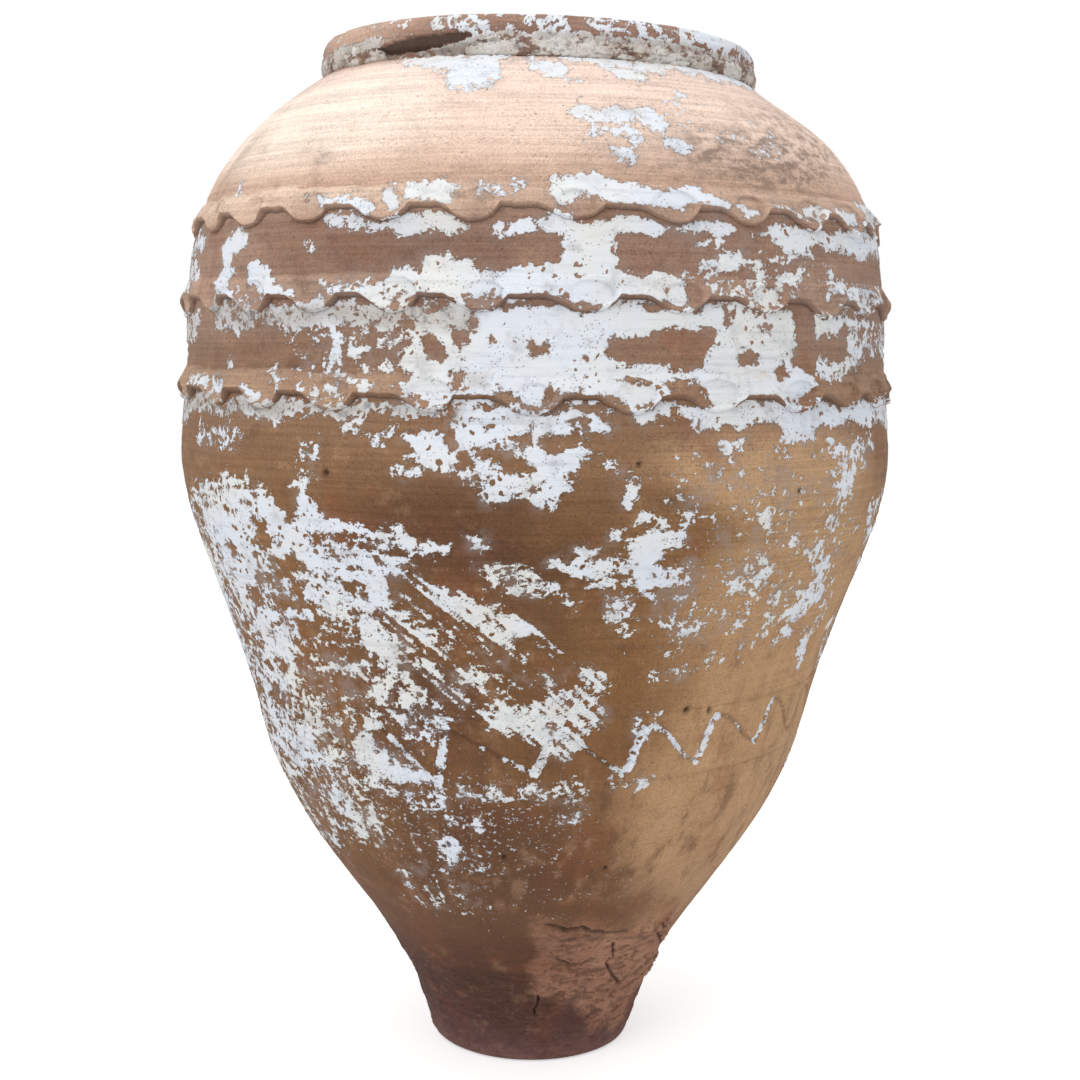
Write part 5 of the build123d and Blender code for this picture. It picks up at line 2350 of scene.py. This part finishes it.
@dataclass(frozen=True)
class Studio:
    """Plain pale floor, soft light and the camera at the photograph's place."""

    camera_place: Point = (0.0, -1.7312, 0.7069)
    look_down: float = 6.47
    look_right: float = 0.184
    roll: float = 0.55
    lens: float = 57.0
    sensor: float = 36.0
    farthest: float = 100.0
    floor_size: float = 14.0
    floor_colour: Colour = tone(246, 246, 246)
    floor_roughness: float = 0.9
    floor_glow: float = 0.5
    sky: float = 0.75
    lamps: tuple[Lamp, ...] = (
        Lamp("key_light", (-1.1, -2.3, 2.3), (0.0, 0.0, 0.6), 1.6, 21.0),
        Lamp("top_light", (-0.1, -0.2, 3.2), (0.0, 0.0, 0.5), 2.4, 21.5))

    def camera(self) -> None:
        """Sets the camera."""
        data = bpy.data.cameras.new("camera")
        data.lens, data.sensor_width, data.sensor_fit = self.lens, self.sensor, "HORIZONTAL"
        data.clip_end = self.farthest
        camera = bpy.data.objects.new("camera", data)
        turn = (Matrix.Rotation(-radians(self.look_right), 4, "Z")
                @ Matrix.Rotation(radians(90.0 - self.look_down), 4, "X")
                @ Matrix.Rotation(radians(self.roll), 4, "Z"))
        camera.matrix_world = Matrix.Translation(self.camera_place) @ turn
        bpy.context.scene.collection.objects.link(camera)
        bpy.context.scene.camera = camera

    def floor(self) -> bpy.types.Object:
        """Lays the floor, white to the camera save for the jar's shadow.

        Returns:
            The floor.
        """
        half = self.floor_size / 2
        mesh = bpy.data.meshes.new("studio_floor")
        square = [(-half, -half, -MM), (half, -half, -MM), (half, half, -MM), (-half, half, -MM)]
        mesh.from_pydata(square, [], [(0, 1, 2, 3)])
        material = bpy.data.materials.new("studio_floor")
        bench = NodeBench(material)
        bench.surface({
            "Base Color": (*self.floor_colour, 1.0), "Roughness": self.floor_roughness,
            "Emission Color": WHITE,
            "Emission Strength": bench.times(bench.seen(), self.floor_glow)})
        mesh.materials.append(material)
        floor = bpy.data.objects.new("studio_floor", mesh)
        bpy.context.scene.collection.objects.link(floor)
        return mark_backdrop(floor)

    def world(self) -> None:
        """Sets the world: soft light on the jar, and plain white to the camera."""
        world = bpy.data.worlds.new("studio_world")
        bench = NodeBench(world)
        soft = bench.make("Background", {"Color": WHITE, "Strength": self.sky})
        plain = bench.make("Background", {"Color": WHITE})
        blend = bench.make("MixShader", {0: bench.seen(), 1: soft.outputs[0], 2: plain.outputs[0]})
        bench.make("OutputWorld", {0: blend.outputs[0]})
        bpy.context.scene.world = world

    def build(self) -> None:
        """Sets up the whole studio."""
        bpy.context.scene.view_settings.view_transform = "Standard"
        self.camera()
        self.floor()
        self.world()
        for lamp in self.lamps:
            lamp.build()


@dataclass
class Pithos:
    """The whole jar, piece by piece from the ground up."""

    courses: tuple[WallCourse, ...] = (
        WallCourse("foot_course", 0.0, 70.0, 1.4, foot=True),
        WallCourse("lower_cone_course", 70.0, 190.0, 1.9),
        WallCourse("upper_cone_course", 190.0, 307.0),
        WallCourse("frieze_course", 307.0, 395.0),
        WallCourse("lower_belly_course", 395.0, 510.0),
        WallCourse("upper_belly_course", 510.0, 663.0),
        WallCourse("lower_girdle_course", 663.0, 744.0),
        WallCourse("upper_girdle_course", 744.0, 818.0),
        WallCourse("lower_shoulder_course", 818.0, 902.0),
        WallCourse("upper_shoulder_course", 902.0, 957.0, neck=True),
    )
    bands: tuple[ThumbBand, ...] = (
        ThumbBand("lower_band", 663.0, (-55.5, -43.0, -30.0, -15.0, -1.0, 12.8, 25.0, 40.0, 52.0,
                                        64.0), 201),
        ThumbBand("middle_band", 744.0, (-58.0, -46.0, -33.5, -20.5, -8.0, 6.5, 19.7, 33.5, 46.5,
                                         59.0), 211),
        ThumbBand("upper_band", 818.0, (-61.0, -49.0, -35.5, -22.8, -9.5, 4.5, 19.0, 31.5, 44.5,
                                        57.0, 70.0), 221),
    )

    def build(self) -> list[bpy.types.Object]:
        """Makes every piece of the jar.

        Returns:
            The pieces, from the ground up.
        """
        clay, mortar = WhitewashedClay().build(), CoarseMortar().build()
        of_clay = (FloorDisc(), *self.courses, *self.bands, RimLip())
        return [part.build(clay) for part in of_clay] + [RimMortar().build(mortar)]


def corners(box: object) -> list[list[float]]:
    """Writes a box as plain lists of numbers."""
    return [[float(number) for number in corner] for corner in box]


def main() -> None:
    """Builds the jar and the studio, and reports each piece."""
    logging.basicConfig(level=logging.INFO, format="%(name)s: %(message)s")
    for piece in Pithos().build():
        log.info("%s: %d faces", piece.name, len(piece.data.polygons))
    Studio().build()
    {"cad": corners(CAD_BOX), "visual": corners(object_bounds())}


if __name__ == "__main__":
    main()
